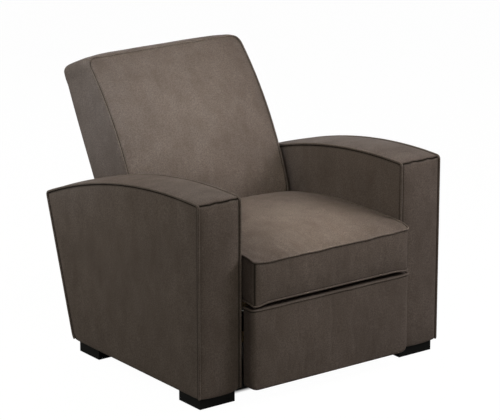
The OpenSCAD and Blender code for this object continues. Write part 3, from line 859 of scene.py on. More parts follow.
@dataclass(frozen=True)
class Stuffing:
    """How a cover swells over its filling."""

    rise: float
    pressure: float = 4.0
    stiffness: float = 14.0
    cap: float = 0.030

    def load(self, pad: bpy.types.Object) -> None:
        """Puts the cloth on a cover, held where its points are fixed.

        Args:
            pad: The cover.
        """
        held = pad.vertex_groups.new(name="held")
        weights = self.weights(pad)
        held.add([int(i) for i in np.flatnonzero(weights > 0.99)], 1.0, "REPLACE")
        cloth = pad.modifiers.new("swell", "CLOTH").settings
        cloth.vertex_group_mass = "held"
        cloth.quality = 6
        cloth.mass = 0.25
        cloth.tension_stiffness = cloth.compression_stiffness = self.stiffness
        cloth.shear_stiffness = self.stiffness * 0.6
        cloth.bending_stiffness = 0.8
        cloth.use_pressure = True
        cloth.uniform_pressure_force = self.pressure
        cloth.effector_weights.gravity = 0.0
        cloth.shrink_min = -0.01

    def weights(self, pad: bpy.types.Object) -> np.ndarray:
        """How firmly each point of a cover is held, from 0 to 1.

        Args:
            pad: The cover.
        Returns:
            One number for each point.
        """
        weights = np.zeros(len(pad.data.vertices), np.float32)
        pad.data.attributes["fixed"].data.foreach_get("value", weights)
        return weights

    def keep(self, pad: bpy.types.Object) -> None:
        """Keeps the swollen shape, with its greatest move brought to the stuffing's rise.

        Args:
            pad: The cover.
        """
        count = len(pad.data.vertices)
        rest, now = np.zeros(count * 3), np.zeros(count * 3)
        pad.data.vertices.foreach_get("co", rest)
        graph = bpy.context.evaluated_depsgraph_get()
        pad.evaluated_get(graph).data.vertices.foreach_get("co", now)
        move = (now - rest).reshape(-1, 3) * (1 - self.weights(pad))[:, None]
        size = np.linalg.norm(move, axis=1, keepdims=True)
        most = float(size.max())
        LOG.info("%s swells by %.1f mm, kept to %.1f mm", pad.name, most * 1000,
                 min(most, self.rise) * 1000)
        # soft cap first, so that no single place stands far out of the rest
        move *= self.cap * np.tanh(size / self.cap) / np.maximum(size, 1e-9)
        size = np.linalg.norm(move, axis=1)
        move *= min(1.0, self.rise / max(float(size.max()), 1e-9))
        pad.modifiers.clear()
        pad.vertex_groups.clear()
        pad.data.vertices.foreach_set("co", rest + move.reshape(-1))
        pad.data.update()


def swell(pads: Sequence[tuple[bpy.types.Object, Stuffing]], frames: int = 20) -> None:
    """Lets covers swell together by cloth simulation, and keeps the result.

    Args:
        pads: The covers, each with its stuffing.
        frames: How long they swell.
    """
    for pad, stuffing in pads:
        stuffing.load(pad)
    for number in range(1, frames + 1):
        bpy.context.scene.frame_set(number)
    for pad, stuffing in pads:
        stuffing.keep(pad)
    bpy.context.scene.frame_set(1)


# ------------------------------------------------------------------ arms


@dataclass
class Arm:
    """One upholstered arm: leather panels over the frame, with welts round both sides."""

    side: Side
    finishes: Finishes
    tube: PathTube
    arch_radius: float = 1.843
    arch_setback: float = 0.089
    front_height: float = 0.6115
    foot_depth: float = 0.663
    rear_lean: float = math.radians(17.2)
    front_lift: float = 0.0070
    lift_slope: float = 0.0058
    seam_inset: float = 0.0032
    inner_out: float = 0.0015
    front_sag: float = 0.0065
    inner_rise: float = 0.0095
    outer_rise: float = 0.0045
    bead: float = 0.0036

    def seams(self) -> tuple[float, float]:
        """How far from the middle the outer and the inner seams run."""
        return ARM_OUTER - self.seam_inset, ARM_INNER - self.inner_out

    def outline(self, inset: float) -> list[np.ndarray]:
        """The arm from the side as four [y, z] edges: up the front, over, down the rear, under.

        Args:
            inset: How far inside the arm's own outline they run.
        Returns:
            The edges.
        """
        middle = FRONT + self.arch_setback
        drop = self.front_height - math.sqrt(self.arch_radius ** 2 - self.arch_setback ** 2)
        radius = self.arch_radius - inset

        def over(y: np.ndarray | float) -> np.ndarray:
            """The arch's height at y: the stuffing lifts it most at the front."""
            lift = self.front_lift - self.lift_slope * (y - FRONT)
            return drop + lift + np.sqrt(radius ** 2 - (y - middle) ** 2)

        def behind(z: float) -> float:
            """The rear edge's y at z."""
            return (FRONT + self.foot_depth - inset / math.cos(self.rear_lean)
                    + (z - FOOT_TOP) * math.tan(self.rear_lean))

        front, top = FRONT + inset, self.front_height
        rear_top = 0.36  # a first guess, which the loop brings onto the rear edge
        for _ in range(12):
            top = float(over(rear_top))
            rear_top = behind(top)
        run = np.linspace(front, rear_top, 220)
        arch = np.stack([run, over(run)], 1)
        edges = [
            straight((front, FOOT_TOP), (front, float(over(front)))),
            arch,
            straight((rear_top, top), (behind(FOOT_TOP), FOOT_TOP)),
            straight((behind(FOOT_TOP), FOOT_TOP), (front, FOOT_TOP)),
        ]
        return soften(edges, [0.004, 0.009, 0.009, 0.0184])

    def hang(self, points: np.ndarray) -> np.ndarray:
        """Lets the front panel's lower edge hang in the middle and rise at its corners.

        Args:
            points: Points of the cover.
        Returns:
            The points, moved.
        """
        out = points.copy()
        across = (np.abs(out[..., 0]) - ARM_INNER) / (ARM_OUTER - ARM_INNER)
        near = np.clip(1 - (out[..., 1] - FRONT) / 0.012, 0, 1)
        low = np.clip(1 - (out[..., 2] - FOOT_TOP) / 0.09, 0, 1) ** 1.5
        out[..., 2] -= self.front_sag * (1 - (2 * across - 1) ** 2) * near * low
        near = np.clip(1 - (out[..., 1] - FRONT) / 0.040, 0, 1) ** 2
        inner = np.clip(1 - across / 0.22, 0, 1) ** 2
        outer = np.clip(1 - (1 - across) / 0.12, 0, 1) ** 2
        out[..., 2] += (self.inner_rise * inner + self.outer_rise * outer) * near * low
        return out

    def place(self, flat: np.ndarray, x: float) -> np.ndarray:
        """Puts [y, z] points at x on this arm's side."""
        return np.concatenate([np.full((*flat.shape[:-1], 1), x * self.side.value), flat], -1)

    def outward(self, ring: list[np.ndarray], shares: list[np.ndarray]) -> list[np.ndarray]:
        """The outline's outward normals at the shares of each edge.

        Args:
            ring: The outline's edges.
            shares: The shares that are used of each edge.
        Returns:
            The normals of each edge.
        """
        whole = np.concatenate([at_shares(e, s)[:-1] for e, s in zip(ring, shares)])
        normal = -normals_of(whole)
        out, start = [], 0
        for s in shares:
            index = (start + np.arange(len(s))) % len(whole)
            out.append(normal[index])
            start += len(s) - 1
        return out

    def build(self) -> bpy.types.Object:
        """Builds the leather and its welts.

        Returns:
            The arm's leather.
        """
        ring = self.outline(self.seam_inset)
        close = (0.0015, 0.0030, 0.0048, 0.0068, 0.010)
        u, v, w = rows(0.78, 66, close), rows(0.57, 46, close), rows(0.1385, 13, close)
        shares = [v, u, v, u]
        flat = [at_shares(e, s) for e, s in zip(ring, shares)]
        normals = self.outward(ring, shares)
        outer_x, inner_x = self.seams()
        rings = {x: [self.place(e, x) for e in flat] for x in (outer_x, inner_x)}
        corner = self.place(np.repeat(ring[1][:1], 60, 0), 1.0)
        corner[:, 0] = np.linspace(outer_x, inner_x, 60) * self.side.value
        seam = corner.copy()
        seam[:, 2] += bow(60, 1.7 + self.side.value, 0.0012)
        shell = Shell(f"arm_leather_{self.side.word}")
        # side panels
        for x, out in ((outer_x, 1.0), (inner_x, -1.0)):
            edges = rings[x]
            grid = coons(edges[3][::-1], edges[1], edges[0], edges[2][::-1], u, v)
            away = distance(grid, edges)
            rise = plump(away, 0.0026, 0.006) + plump(away, 0.0022 if out > 0 else 0.0010, 0.09)
            rise += crumple(grid, 0.0007, 0.11, 3.1 + out, away, 0.03)
            grid[..., 0] += rise * out * self.side.value
            # painted shade, with dye, along the side panel's welted edges
            shell.patch(self.hang(grid), shade(grid, edges[:3], 0.0064))
        # bands: front, over the arch, rear; the one underneath stays on the feet
        feet = [np.stack([rings[x][i][-1] for x in (outer_x, inner_x)]) for i in (2, 3)]
        held = [corner, *rings[outer_x], *rings[inner_x], *feet]
        across = np.abs(w - 0.5)[:, None] * 2
        for i in range(3):
            grid = strip(rings[outer_x][i], rings[inner_x][i], w)
            away, turn = distance(grid, held), distance(grid, [seam])
            sides = [distance(grid, [rings[x][i]]) for x in (outer_x, inner_x)]
            normal = np.zeros_like(grid)
            normal[..., 1:] = normals[i][None]
            edge, reach, middle = (0.0042, 0.009, 0.0048) if i == 0 else (0.0036, 0.0055, 0.0050)
            rise = plump(away, edge, reach) + (1 - across ** 2) * plump(
                distance(grid, [corner, *feet]), middle, 0.045)
            rise = rise + crumple(grid, 0.0006, 0.06, 7.7, away, 0.02)
            pucker = np.exp(-turn / 0.018) * plump(away, 1.0, 0.004)
            rise = rise + 0.0011 * pucker * ripple(grid, 0.016, 1.3)
            rise = rise - np.exp(-(turn / 0.0017) ** 2) * plump(np.minimum(*sides), 0.0022, 0.003)
            grid = grid + normal * rise[..., None]
            # painted shade, with dye, beside the welts and the wavy top seam; the front band's
            # inner edge gets deeper painted shade than the outer, as if lit from the outer side
            if i == 0:
                dark = np.maximum(darken(sides[0], 0.0034, 0.55), darken(sides[1], 0.0062, 0.92))
            else:
                dark = darken(np.minimum(*sides), 0.0050, 0.40)
            shell.patch(self.hang(grid), np.maximum(dark, darken(turn, 0.0030, 0.95)))
        shell.patch(self.hang(strip(rings[outer_x][3], rings[inner_x][3], w)))
        leather = shell.sew(self.finishes.leather)
        refine(leather)
        names = [f"arm_{part}_cover_{self.side.word}"
                 for part in ("outer", "inner", "top", "front")]
        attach(leather, "base")
        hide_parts(*names)
        LOG.info("built %s", leather.name)
        self.welts(ring, normals, shares)
        return leather

    def welts(self, ring: list[np.ndarray], normals: list[np.ndarray],
              shares: list[np.ndarray]) -> None:
        """Lays the welts up the front, over the arch and down the rear of both sides.

        Args:
            ring: The outline's edges.
            normals: The outward normals of each edge.
            shares: The shares that are used of each edge.
        """
        paths = []
        for x, out in zip(self.seams(), (1, -1)):
            path = [self.place(at_shares(ring[i], shares[i]) + normals[i] * 0.0018,
                               x + out * 0.0012) for i in range(3)]
            whole = np.concatenate([path[0][:-1], path[1][:-1], path[2]])
            paths.append(self.hang(evenly(whole)))
        welt = self.tube.lay(f"arm_welts_{self.side.word}", paths, self.bead, self.finishes.welt)
        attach(welt, "base")
        LOG.info("built %s", welt.name)


# ------------------------------------------------------------------ seat cushion


@dataclass(eq=False)
class SeatCushion:
    """The boxed seat cushion: crowned top panel, boxing and a welt round both edges."""

    finishes: Finishes
    tube: PathTube
    half: float = 0.2855
    front: float = FRONT - 0.0500
    rear: float = 0.1050
    bottom: float = 0.3075
    rounds: tuple[float, ...] = (0.009, 0.009, 0.016, 0.016)
    droops: tuple[float, float] = (0.0065, 0.0045)
    bead: float = 0.0028

    def near_front(self, y: np.ndarray) -> np.ndarray:
        """1 at the front edge, 0 from 31 mm behind it."""
        return np.clip(1 - (y - self.front) / 0.031, 0, 1)

    def seam_height(self, points: np.ndarray) -> np.ndarray:
        """The height of the top seam at [x, y] points.

        Args:
            points: The points in plan.
        Returns:
            A height for each of them.
        """
        x, y = points[:, 0], points[:, 1]
        level = through(
            y, (self.front, -0.4528, -0.42, -0.37, -0.20, -0.12, -0.05, 0, 0.05, 0.09, 0.105),
            (0.4275, 0.4400, 0.4425, 0.443, 0.443, 0.440, 0.433, 0.425, 0.415, 0.405, 0.403))
        wave = 0.0041 * np.abs(x / self.half) ** 8
        wave += 0.0008 * np.sin(x * 38 + 0.6) + 0.0006 * np.sin(x * 71 + 2)
        return level + wave * self.near_front(y)

    def crown(self, points: np.ndarray) -> np.ndarray:
        """How far the filling lifts the top over its side seams, before it swells.

        Args:
            points: Points of the top panel.
        Returns:
            The lift at each of them.
        """
        high = through(
            points[..., 1],
            (self.front, -0.42, -0.38, -0.32, -0.25, -0.18, -0.10, -0.05, 0, 0.05, 0.105),
            (0, 0.004, 0.006, 0.011, 0.014, 0.016, 0.0215, 0.023, 0.020, 0.016, 0.0135))
        return high * np.clip(1 - (points[..., 0] / self.half) ** 2, 0, 1)

    def build(self) -> bpy.types.Object:
        """Builds the cover before it swells.

        Returns:
            The cover.
        """
        w, f, r = self.half, self.front, self.rear
        plan = soften(rectangle(w, f, r), self.rounds)
        u, v = rows(2 * w, 56), rows(r - f, 56)
        high, low = [], []
        for edge, share in zip(plan, (u, v, u, v)):
            flat = at_shares(edge, share)
            high.append(np.column_stack([flat, self.seam_height(flat)]))
            droop = ease((np.abs(flat[:, 0]) - w + 0.058) / 0.055) * np.where(
                flat[:, 0] < 0, *self.droops)
            low.append(np.column_stack([flat, self.bottom - droop * self.near_front(flat[:, 1])]))
        self.high, self.low = high, low
        corners = [np.stack([high[i][0], low[i][0]]) for i in range(4)]
        shell = Shell("seat_cushion_leather")
        top = inside(high, u, v)
        away = distance(top, high)
        top[..., 2] += plump(away, 0.0035, 0.008) + self.crown(top) * plump(away, 1.0, 0.010)
        top[..., 2] += crumple(top, 0.0009, 0.09, 5.2, away, 0.03)
        # painted shade, with dye, along the seams of the top and the base
        shell.patch(top, darken(away, 0.0022, 0.35), (away < 1e-6).astype(float))
        base = inside(low, u, v)
        shell.patch(base, shade(base, low, depth=0.6), 1.0)
        t = rows(0.12, 9)
        for i in range(4):
            grid = strip(low[i], high[i], t)
            away = distance(grid, [*high, *low, *corners])
            normal = np.zeros(3)
            normal[[1, 0, 1, 0][i]] = [-1, 1, 1, -1][i]
            puff = plump(away, 0.0035, 0.008) + crumple(grid, 0.0008, 0.05, 4.4, away, 0.012)
            grid = grid + normal * puff[..., None]
            # painted shade, with dye, along the boxing's seams and corners
            dark = np.maximum(shade(grid, high, 0.0050, 0.92), shade(grid, corners, 0.0026, 0.8))
            dark = np.maximum(dark, shade(grid, low, 0.0030, 0.6))
            shell.patch(grid, dark, np.maximum(away < 1e-6, (0.55, 0.8, 0.97, 0.8)[i]))
        self.piece = shell.sew(self.finishes.leather)
        return self.piece

    def finish(self) -> None:
        """Lays the welts once the cover has swollen, and hangs it on the seat."""
        refine(self.piece)
        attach(self.piece, "seat")
        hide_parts("seat_cushion")
        for name, ring, lift in (("top", self.high, 0.0006), ("bottom", self.low, -0.0004)):
            whole = np.concatenate([edge[:-1] for edge in ring])
            whole[:, :2] += normals_of(whole) * 0.0016
            whole[:, 2] += lift
            count = int(length_of(whole) / WELT_STEP)
            path = at_shares(np.concatenate([whole, whole[:1]]), np.linspace(0, 1, count))[:-1]
            welt = self.tube.lay(f"seat_cushion_{name}_welt", [path], self.bead,
                                 self.finishes.welt, closed=True)
            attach(welt, "seat")
            LOG.info("built %s", welt.name)


# ------------------------------------------------------------------ back


@dataclass(eq=False)
class Back:
    """The leaning back: crowned front panel, boxing, rear panel and a welt round the front."""

    finishes: Finishes
    tube: PathTube
    half: float = 0.2852
    below: float = -0.02
    seam_top: float = 0.5415
    foot: tuple[float, float] = (FRONT + 0.688, 0.320)
    lean: float = math.radians(25.8)
    front_radius: float = 1.1
    crown: float = 0.022
    thickness: float = 0.188
    bulge_height: float = 0.185
    flat_half: float = 0.1544
    side_radius: float = 0.4
    sweep_centre: float = 0.597
    sweep_radius: float = 0.811
    corner: float = 0.034
    rear_round: float = 0.008
    rear_depth: float = 0.0100
    side_puff: float = 0.0055
    top_puff: float = 0.0175
    corner_puff: float = 0.0090
    rear_corner: float = 0.0080
    rear_lift: float = 0.0050
    cushion_line: float = 0.1092
    bead: float = 0.0022

    def front_face(self, z: np.ndarray) -> np.ndarray:
        """The depth of the front seam at a height up the back."""
        centre = self.front_radius - self.thickness
        return centre - np.sqrt(self.front_radius ** 2 - (z - self.bulge_height) ** 2)

    def to_seat(self, grid: np.ndarray) -> np.ndarray:
        """Carries points from the back's own frame to the seat's.

        Args:
            grid: The points.
        Returns:
            The same points in the seat's frame.
        """
        y, z = grid[..., 1], grid[..., 2]
        s, c = math.sin(self.lean), math.cos(self.lean)
        out = grid.copy()
        out[..., 1] = self.foot[0] + y * c + z * s
        out[..., 2] = self.foot[1] + z * c - y * s
        return out

    def clear_cushion(self, grid: np.ndarray) -> np.ndarray:
        """Keeps points behind the seat cushion and above the back's foot.

        Args:
            grid: Points in the seat's frame.
        Returns:
            The points, moved where they had to be.
        """
        limit = self.cushion_line - 0.06 * ease((grid[..., 2] - 0.452) / 0.05)
        out = grid.copy()
        out[..., 1] = np.maximum(out[..., 1], limit)
        out[..., 2] = np.maximum(out[..., 2], self.foot[1] + 0.0005)
        return out

    def crowned(self, x: np.ndarray, z: np.ndarray) -> np.ndarray:
        """The depth of the filled front at places across and up the back.

        Args:
            x: The places across.
            z: The places up.
        Returns:
            The depth at each place.
        """
        across = np.maximum(np.abs(x) - self.flat_half, 0)
        radius = self.front_radius + self.crown - self.side_radius + np.sqrt(
            self.side_radius ** 2 - across ** 2)
        up = (z - self.bulge_height) ** 2
        barrel = self.front_radius - self.thickness - np.sqrt(radius ** 2 - up)
        return np.maximum(barrel, self.sweep_centre - np.sqrt(self.sweep_radius ** 2 - up))

    def build(self) -> bpy.types.Object:
        """Builds the cover before it swells.

        Returns:
            The cover.
        """
        w, top, foot = self.half, self.seam_top, self.below
        face = soften(rectangle(w, foot, top), [0.002, 0.002, self.corner, self.corner])
        u, v = rows(2 * w, 52), rows(top - foot, 56)
        ring = [at_shares(edge, s) for edge, s in zip(face, (u, v, u, v))]
        front = [np.column_stack([e[:, 0], self.front_face(e[:, 1]), e[:, 1]]) for e in ring]
        whole = np.concatenate([e[:-1] for e in ring])
        outward = np.insert(normals_of(whole), 1, 0.0, axis=1)
        starts = np.cumsum([0, *(len(e) - 1 for e in ring)])
        shell = Shell("back_leather")
        boxing = [self.band(e, outward[(start + np.arange(len(e))) % len(whole)])
                  for e, start in zip(front, starts)]
        rear = [grid[-1] for grid in boxing]
        panel = inside(front, u, v)
        away = distance(panel, front)
        full = np.minimum(self.crowned(panel[..., 0], panel[..., 2]) - panel[..., 1], 0)
        panel[..., 1] += 0.3 * full * plump(away, 1.0, 0.012) - plump(away, 0.0035, 0.008)
        panel[..., 1] -= crumple(panel, 0.0010, 0.10, 9.4, away, 0.03)
        held = np.maximum((away < 1e-6), panel[..., 2] < 0.02).astype(float)
        # painted shade, with dye, beside the front welt: deeper at the sides than along the top
        dark = np.maximum(shade(panel, [front[1], front[3]], 0.0050, 0.85),
                          shade(panel, front[2:3], 0.0034, 0.35))
        shell.patch(self.clear_cushion(self.to_seat(panel)), dark, held)
        for grid in boxing:
            # painted shade, with dye, along the boxing's front and rear seams
            dark = np.maximum(shade(grid, front, 0.0022, 0.3), shade(grid, rear, 0.0030, 0.7))
            shell.patch(self.clear_cushion(self.to_seat(grid)), dark, 1.0)
        back = inside(rear, u, v)
        gap = distance(back, rear)
        back[..., 1] += plump(gap, 1.0, 0.012) * (
            0.0015 + 0.0035 * ease((back[..., 2] - 0.30) / 0.2))
        # painted shade, with dye, round the rear panel's seam
        shell.patch(self.clear_cushion(self.to_seat(back)), darken(gap, 0.004, 0.5), 1.0)
        self.front_ring = [self.clear_cushion(self.to_seat(e)) for e in front]
        self.piece = shell.sew(self.finishes.leather)
        return self.piece

    def band(self, e: np.ndarray, side: np.ndarray) -> np.ndarray:
        """The boxing behind one edge of the front.

        Args:
            e: The edge's points, in the back's own frame.
            side: The outward normal at each of them.
        Returns:
            The grid of points, with its last row on the rear edge.
        """
        t = rows(0.15, 15, close=(0.0015, 0.0030, 0.0048, 0.009))
        grid = np.repeat(e[None], len(t), 0)
        deep = self.rear_depth * ease((e[:, 2] - 0.06) / 0.40)
        grid[..., 1] = (1 - t[:, None]) * e[:, 1] + t[:, None] * deep
        gap = np.minimum(grid[..., 1] - e[:, 1], deep - grid[..., 1])
        free = ease((grid[..., 2] - self.below) / 0.03)
        upward = side[:, 2] ** 2 * (side[:, 2] > 0)
        turned = np.abs(2 * side[:, 0] * side[:, 2]) * (side[:, 2] > 0)
        arched = self.top_puff * (1 - np.abs(e[:, 0] / self.half) ** 8)
        puff = plump(gap, 1.0, 0.012) * (
            self.side_puff * side[:, 0] ** 2 + arched * upward + self.corner_puff * turned)
        puff += crumple(grid, 0.0007, 0.08, 2.2, gap, 0.02)
        puff += (self.rear_corner * turned + self.rear_lift * upward) * t[:, None] ** 1.5
        grid += side * (puff * free)[..., None]
        past = np.maximum(grid[..., 1] - deep + self.rear_round, 0)
        drop = self.rear_round - np.sqrt(np.maximum(self.rear_round ** 2 - past ** 2, 0))
        grid[..., 2] -= drop * ease((e[:, 2] - 0.42) / (self.seam_top - 0.42))
        return grid

    def finish(self) -> None:
        """Lays the welt once the cover has swollen, and hangs it on the back."""
        refine(self.piece)
        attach(self.piece, "back")
        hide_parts("back_cushion", "back_shell")
        whole = np.concatenate([self.front_ring[1][:-1], self.front_ring[2][:-1],
                                self.front_ring[3]])
        out = whole - whole.mean(0)
        out[:, 1:] *= 0.4
        out /= np.linalg.norm(out, axis=1, keepdims=True)
        forward = np.array([0, -math.cos(self.lean), math.sin(self.lean)])
        path = evenly(whole + out * 0.0010 + forward * 0.0008)
        welt = self.tube.lay("back_front_welt", [path], self.bead, self.finishes.welt)
        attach(welt, "back")
        LOG.info("built %s and %s", self.piece.name, welt.name)


# ------------------------------------------------------------------ footrest


@dataclass(eq=False)
class Footrest:
    """The padded footrest panel, rolled over at its edges."""

    finishes: Finishes
    tube: PathTube
    half: float = 0.2918
    low: float = 0.0410
    high: float = 0.2902
    front: float = -0.4830
    rear: float = -0.4388
    plan_round: float = 0.012
    face_round: float = 0.024
    top_roll: float = 0.006
    foot_roll: float = 0.011
    seam_drop: float = 0.0062
    bead: float = 0.0028

    def girth(self, z: float) -> np.ndarray:
        """The panel's outline at a height: forward along one side, across the front, and back.

        Args:
            z: The height.
        Returns:
            The outline's points.
        """

        def inset(roll: float, gap: float) -> float:
            """How far a round edge stands in at a distance from where it ends."""
            return roll - math.sqrt(max(roll ** 2 - max(roll - gap, 0) ** 2, 0))

        top = inset(self.top_roll, self.high - z)
        w = self.half - inset(self.face_round, z - self.low) - top
        f = self.front + inset(self.foot_roll, z - self.low) + top
        r = self.plan_round
        turn = np.linspace(0, math.pi / 2, 16)
        corner = np.column_stack([-w + r - r * np.cos(turn), f + r - r * np.sin(turn)])
        half = np.concatenate([straight((-w, self.rear), (-w, f + r), 8)[:-1], corner,
                               straight((-w + r, f), (0, f), 60)[1:]])
        whole = np.concatenate([half, (half * (-1, 1))[::-1][1:]])
        flat = at_shares(whole, np.linspace(0, 1, 141))
        return np.column_stack([flat, np.full(len(flat), z)])

    def build(self) -> bpy.types.Object:
        """Builds the cover before it swells.

        Returns:
            The cover.
        """
        line = self.high - self.seam_drop
        turn = np.linspace(0, math.pi / 2, 9)
        heights = np.concatenate([
            self.low + self.face_round * (1 - np.cos(turn)),
            np.linspace(self.low + self.face_round, line - 0.004, 26)[1:],
            line + np.array([-0.0028, -0.0018, -0.0008, 0, 0.0008]),
            self.high - self.top_roll + self.top_roll * np.sin(turn[2:])])
        shell = Shell("footrest_leather")
        front = np.stack([self.girth(z) for z in heights])
        share = np.linspace(0, 1, front.shape[1])[:, None]
        chords = (1 - share) * front[:, :1] + share * front[:, -1:]
        front[..., 1] -= 0.0006 * ripple(front, 0.06, 6.1) * ease(
            (front[..., 2] - self.low) / 0.03) * (front[..., 1] < self.front + 0.012)
        under = np.abs(front[..., 2] - line)
        edge = np.minimum(front[..., 2] - self.low, self.high - front[..., 2])
        held = np.where(
            edge < 0.0075, 1.0, 0.85 * ease((front[..., 1] - self.front - 0.002) / 0.012))
        # painted shade, with dye, along the seam under the top roll
        shell.patch(front, 0.7 * (1 - ease((under - 0.0005) / 0.0014)), held)
        for row, chord in ((front[0], chords[0]), (front[-1], chords[-1])):
            shell.patch(strip(row, chord, np.linspace(0, 1, 8)), None, 1.0)
        shell.patch(chords, None, 1.0)
        self.piece = shell.sew(self.finishes.leather)
        return self.piece

    def top_edge(self) -> np.ndarray:
        """The line of the welt round the top.

        Returns:
            Its points.
        """
        path = self.girth(self.high - 0.0030)

        def near_side() -> np.ndarray:
            """1 at the panel's sides, 0 from 30 mm inside them."""
            return ease((np.abs(path[:, 0]) - self.half + 0.030) / 0.028)

        out = np.column_stack([np.sign(path[:, 0]) * near_side(),
                               -ease((self.rear - path[:, 1]) / 0.03)])
        path[:, :2] += 0.0012 * out
        path[:, 2] += 0.0018 * near_side()
        path[:, 2] += 0.0004 * np.sin(path[:, 0] * 44 + 1)
        return path

    def finish(self) -> None:
        """Lays the welt and hangs the panel on the footrest."""
        refine(self.piece)
        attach(self.piece, "footrest")
        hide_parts("footrest_pad")
        welt = self.tube.lay("footrest_welt", [evenly(self.top_edge())], self.bead,
                             self.finishes.welt)
        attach(welt, "footrest")
        LOG.info("built %s and %s", self.piece.name, welt.name)


# ------------------------------------------------------------------ springs and linings


@dataclass
class Springs:
    """Zigzag springs of round wire under the seat and the back, and wound closing springs."""

    finishes: Finishes
    tube: PathTube
    wire: float = 0.0019
    closing_wire: float = 0.00095
    loops: int = 9
    seat_spacing: float = 0.0944
    back_spacing: float = 0.0948
    coil_radius: float = 0.0049
    coil_pitch: float = 0.0024

    def zigzag(self, run: float, amplitude: float = 0.030) -> np.ndarray:
        """A zigzag in its own plane, from the origin along its first axis.

        Args:
            run: How far it reaches.
            amplitude: How far it swings to each side.
        Returns:
            The wire's points in that plane.
        """
        pitch = run / (2 * self.loops)
        leg, turn = amplitude - pitch / 2, np.linspace(0, math.pi, 9)
        path = [np.zeros((1, 2))]
        for i in range(2 * self.loops):
            side = 1 if i % 2 == 0 else -1
            path.append(np.column_stack([(i + 0.5 - 0.5 * np.cos(turn)) * pitch,
                                         side * (leg + pitch / 2 * np.sin(turn))]))
        return np.concatenate([*path, [[run, 0.0]]])

    def build(self) -> None:
        """Builds all of them."""
        places = np.arange(5) - 2.0
        seat = self.zigzag(0.475)
        self.add("seat_springs", "seat", self.wire, [
            np.column_stack([self.seat_spacing * i - seat[:, 1], FRONT + 0.040 + seat[:, 0],
                             np.full(len(seat), 0.3008)]) for i in places])
        back, leaning = self.zigzag(0.472), Back(self.finishes, self.tube)
        self.add("back_springs", "back", self.wire, [
            leaning.to_seat(np.column_stack([
                self.back_spacing * i - back[:, 1], np.full(len(back), -0.060),
                0.028 + back[:, 0]])) for i in places])
        self.add("closing_springs", "seat", self.closing_wire, [self.coil(side) for side in Side])

    def coil(self, side: Side) -> np.ndarray:
        """The wire of one closing spring, from its pin on the link to its post on the plate.

        Args:
            side: The side of the seat.
        Returns:
            The wire's points.
        """
        angle, hook, loop = math.radians(55), 0.014, 0.0037
        pin = np.array([0.255 * side.value, FRONT + 0.075 + 0.030 * math.cos(angle),
                        0.258 - 0.030 * math.sin(angle)])
        post = np.array([0.255 * side.value, FRONT + 0.260, 0.195])
        length = float(np.linalg.norm(post - pin))
        along = (post - pin) / length
        sideways = np.array([1.0, 0, 0])
        across = np.cross(along, sideways)
        turn = np.linspace(math.radians(40), 2 * math.pi, 16)
        eye = loop * (np.cos(turn)[:, None] * along + np.sin(turn)[:, None] * across)
        turns = round((length - 2 * hook) / self.coil_pitch)
        swing = np.linspace(0, 2 * math.pi * turns, 12 * turns)
        far = np.linspace(hook, length - hook, 12 * turns)
        wide = self.coil_radius * np.minimum(1, np.minimum(swing, swing[-1] - swing) / math.pi)
        body = far[:, None] * along + wide[:, None] * (
            np.cos(swing)[:, None] * across + np.sin(swing)[:, None] * sideways)
        return pin + np.concatenate([eye, [along * (hook - 0.002)], body[3:-3],
                                     [along * (length - hook + 0.002)],
                                     (along * length - eye)[::-1]])

    def add(self, node: str, body: str, radius: float, paths: list[np.ndarray]) -> None:
        """Lays wires that stand for a node.

        Args:
            node: The node.
            body: The body that carries it.
            radius: The wire's radius.
            paths: The points of each wire.
        """
        piece = self.tube.lay(node + "_wire", paths, radius, self.finishes.slots["spring_steel"],
                              sides=8, unevenness=0.0)
        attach(piece, body)
        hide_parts(node)
        LOG.info("built %s", piece.name)


@dataclass
class Lining:
    """A thin black cloth stapled to the seat frame: the deck or the dust cover."""

    finishes: Finishes
    node: str
    half: float
    start: float
    end: float
    top: float
    thickness: float
    sag: float
    seed: float

    def build(self) -> None:
        """Builds the cloth, drawn tight at its staples and slack between them."""
        w, a, b = self.half, FRONT + self.start, FRONT + self.end
        u, v = rows(2 * w, 60), rows(b - a, 60)
        grid = np.zeros((len(v), len(u), 3))
        grid[..., 0] = (2 * u[None] - 1) * w
        grid[..., 1] = a + v[:, None] * (b - a)
        bowl = (1 - (2 * u[None] - 1) ** 2) * (1 - (2 * v[:, None] - 1) ** 2)
        edge = np.minimum(w - np.abs(grid[..., 0]), np.minimum(grid[..., 1] - a, b - grid[..., 1]))
        staples = np.sin(grid[..., 0] * 130) * np.sin(grid[..., 1] * 130)
        grid[..., 2] = self.top - self.sag * bowl ** 0.8 - 0.12 * self.sag * (
            1 + staples) * np.exp(-((edge - 0.02) / 0.014) ** 2) * ease(edge / 0.012)
        grid[..., 2] += 0.08 * self.sag * ripple(grid, 0.045, self.seed) * ease(edge / 0.03)
        under = grid - (0, 0, self.thickness)
        shell = Shell(self.node + "_cloth")
        shell.patch(grid)
        shell.patch(under)
        for one, other in ((grid[0], under[0]), (grid[-1], under[-1]),
                           (grid[:, 0], under[:, 0]), (grid[:, -1], under[:, -1])):
            shell.patch(np.stack([one, other]))
        cloth = shell.sew(self.finishes.slots["black_fabric"])
        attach(cloth, "seat")
        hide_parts(self.node)
        LOG.info("built %s", cloth.name)


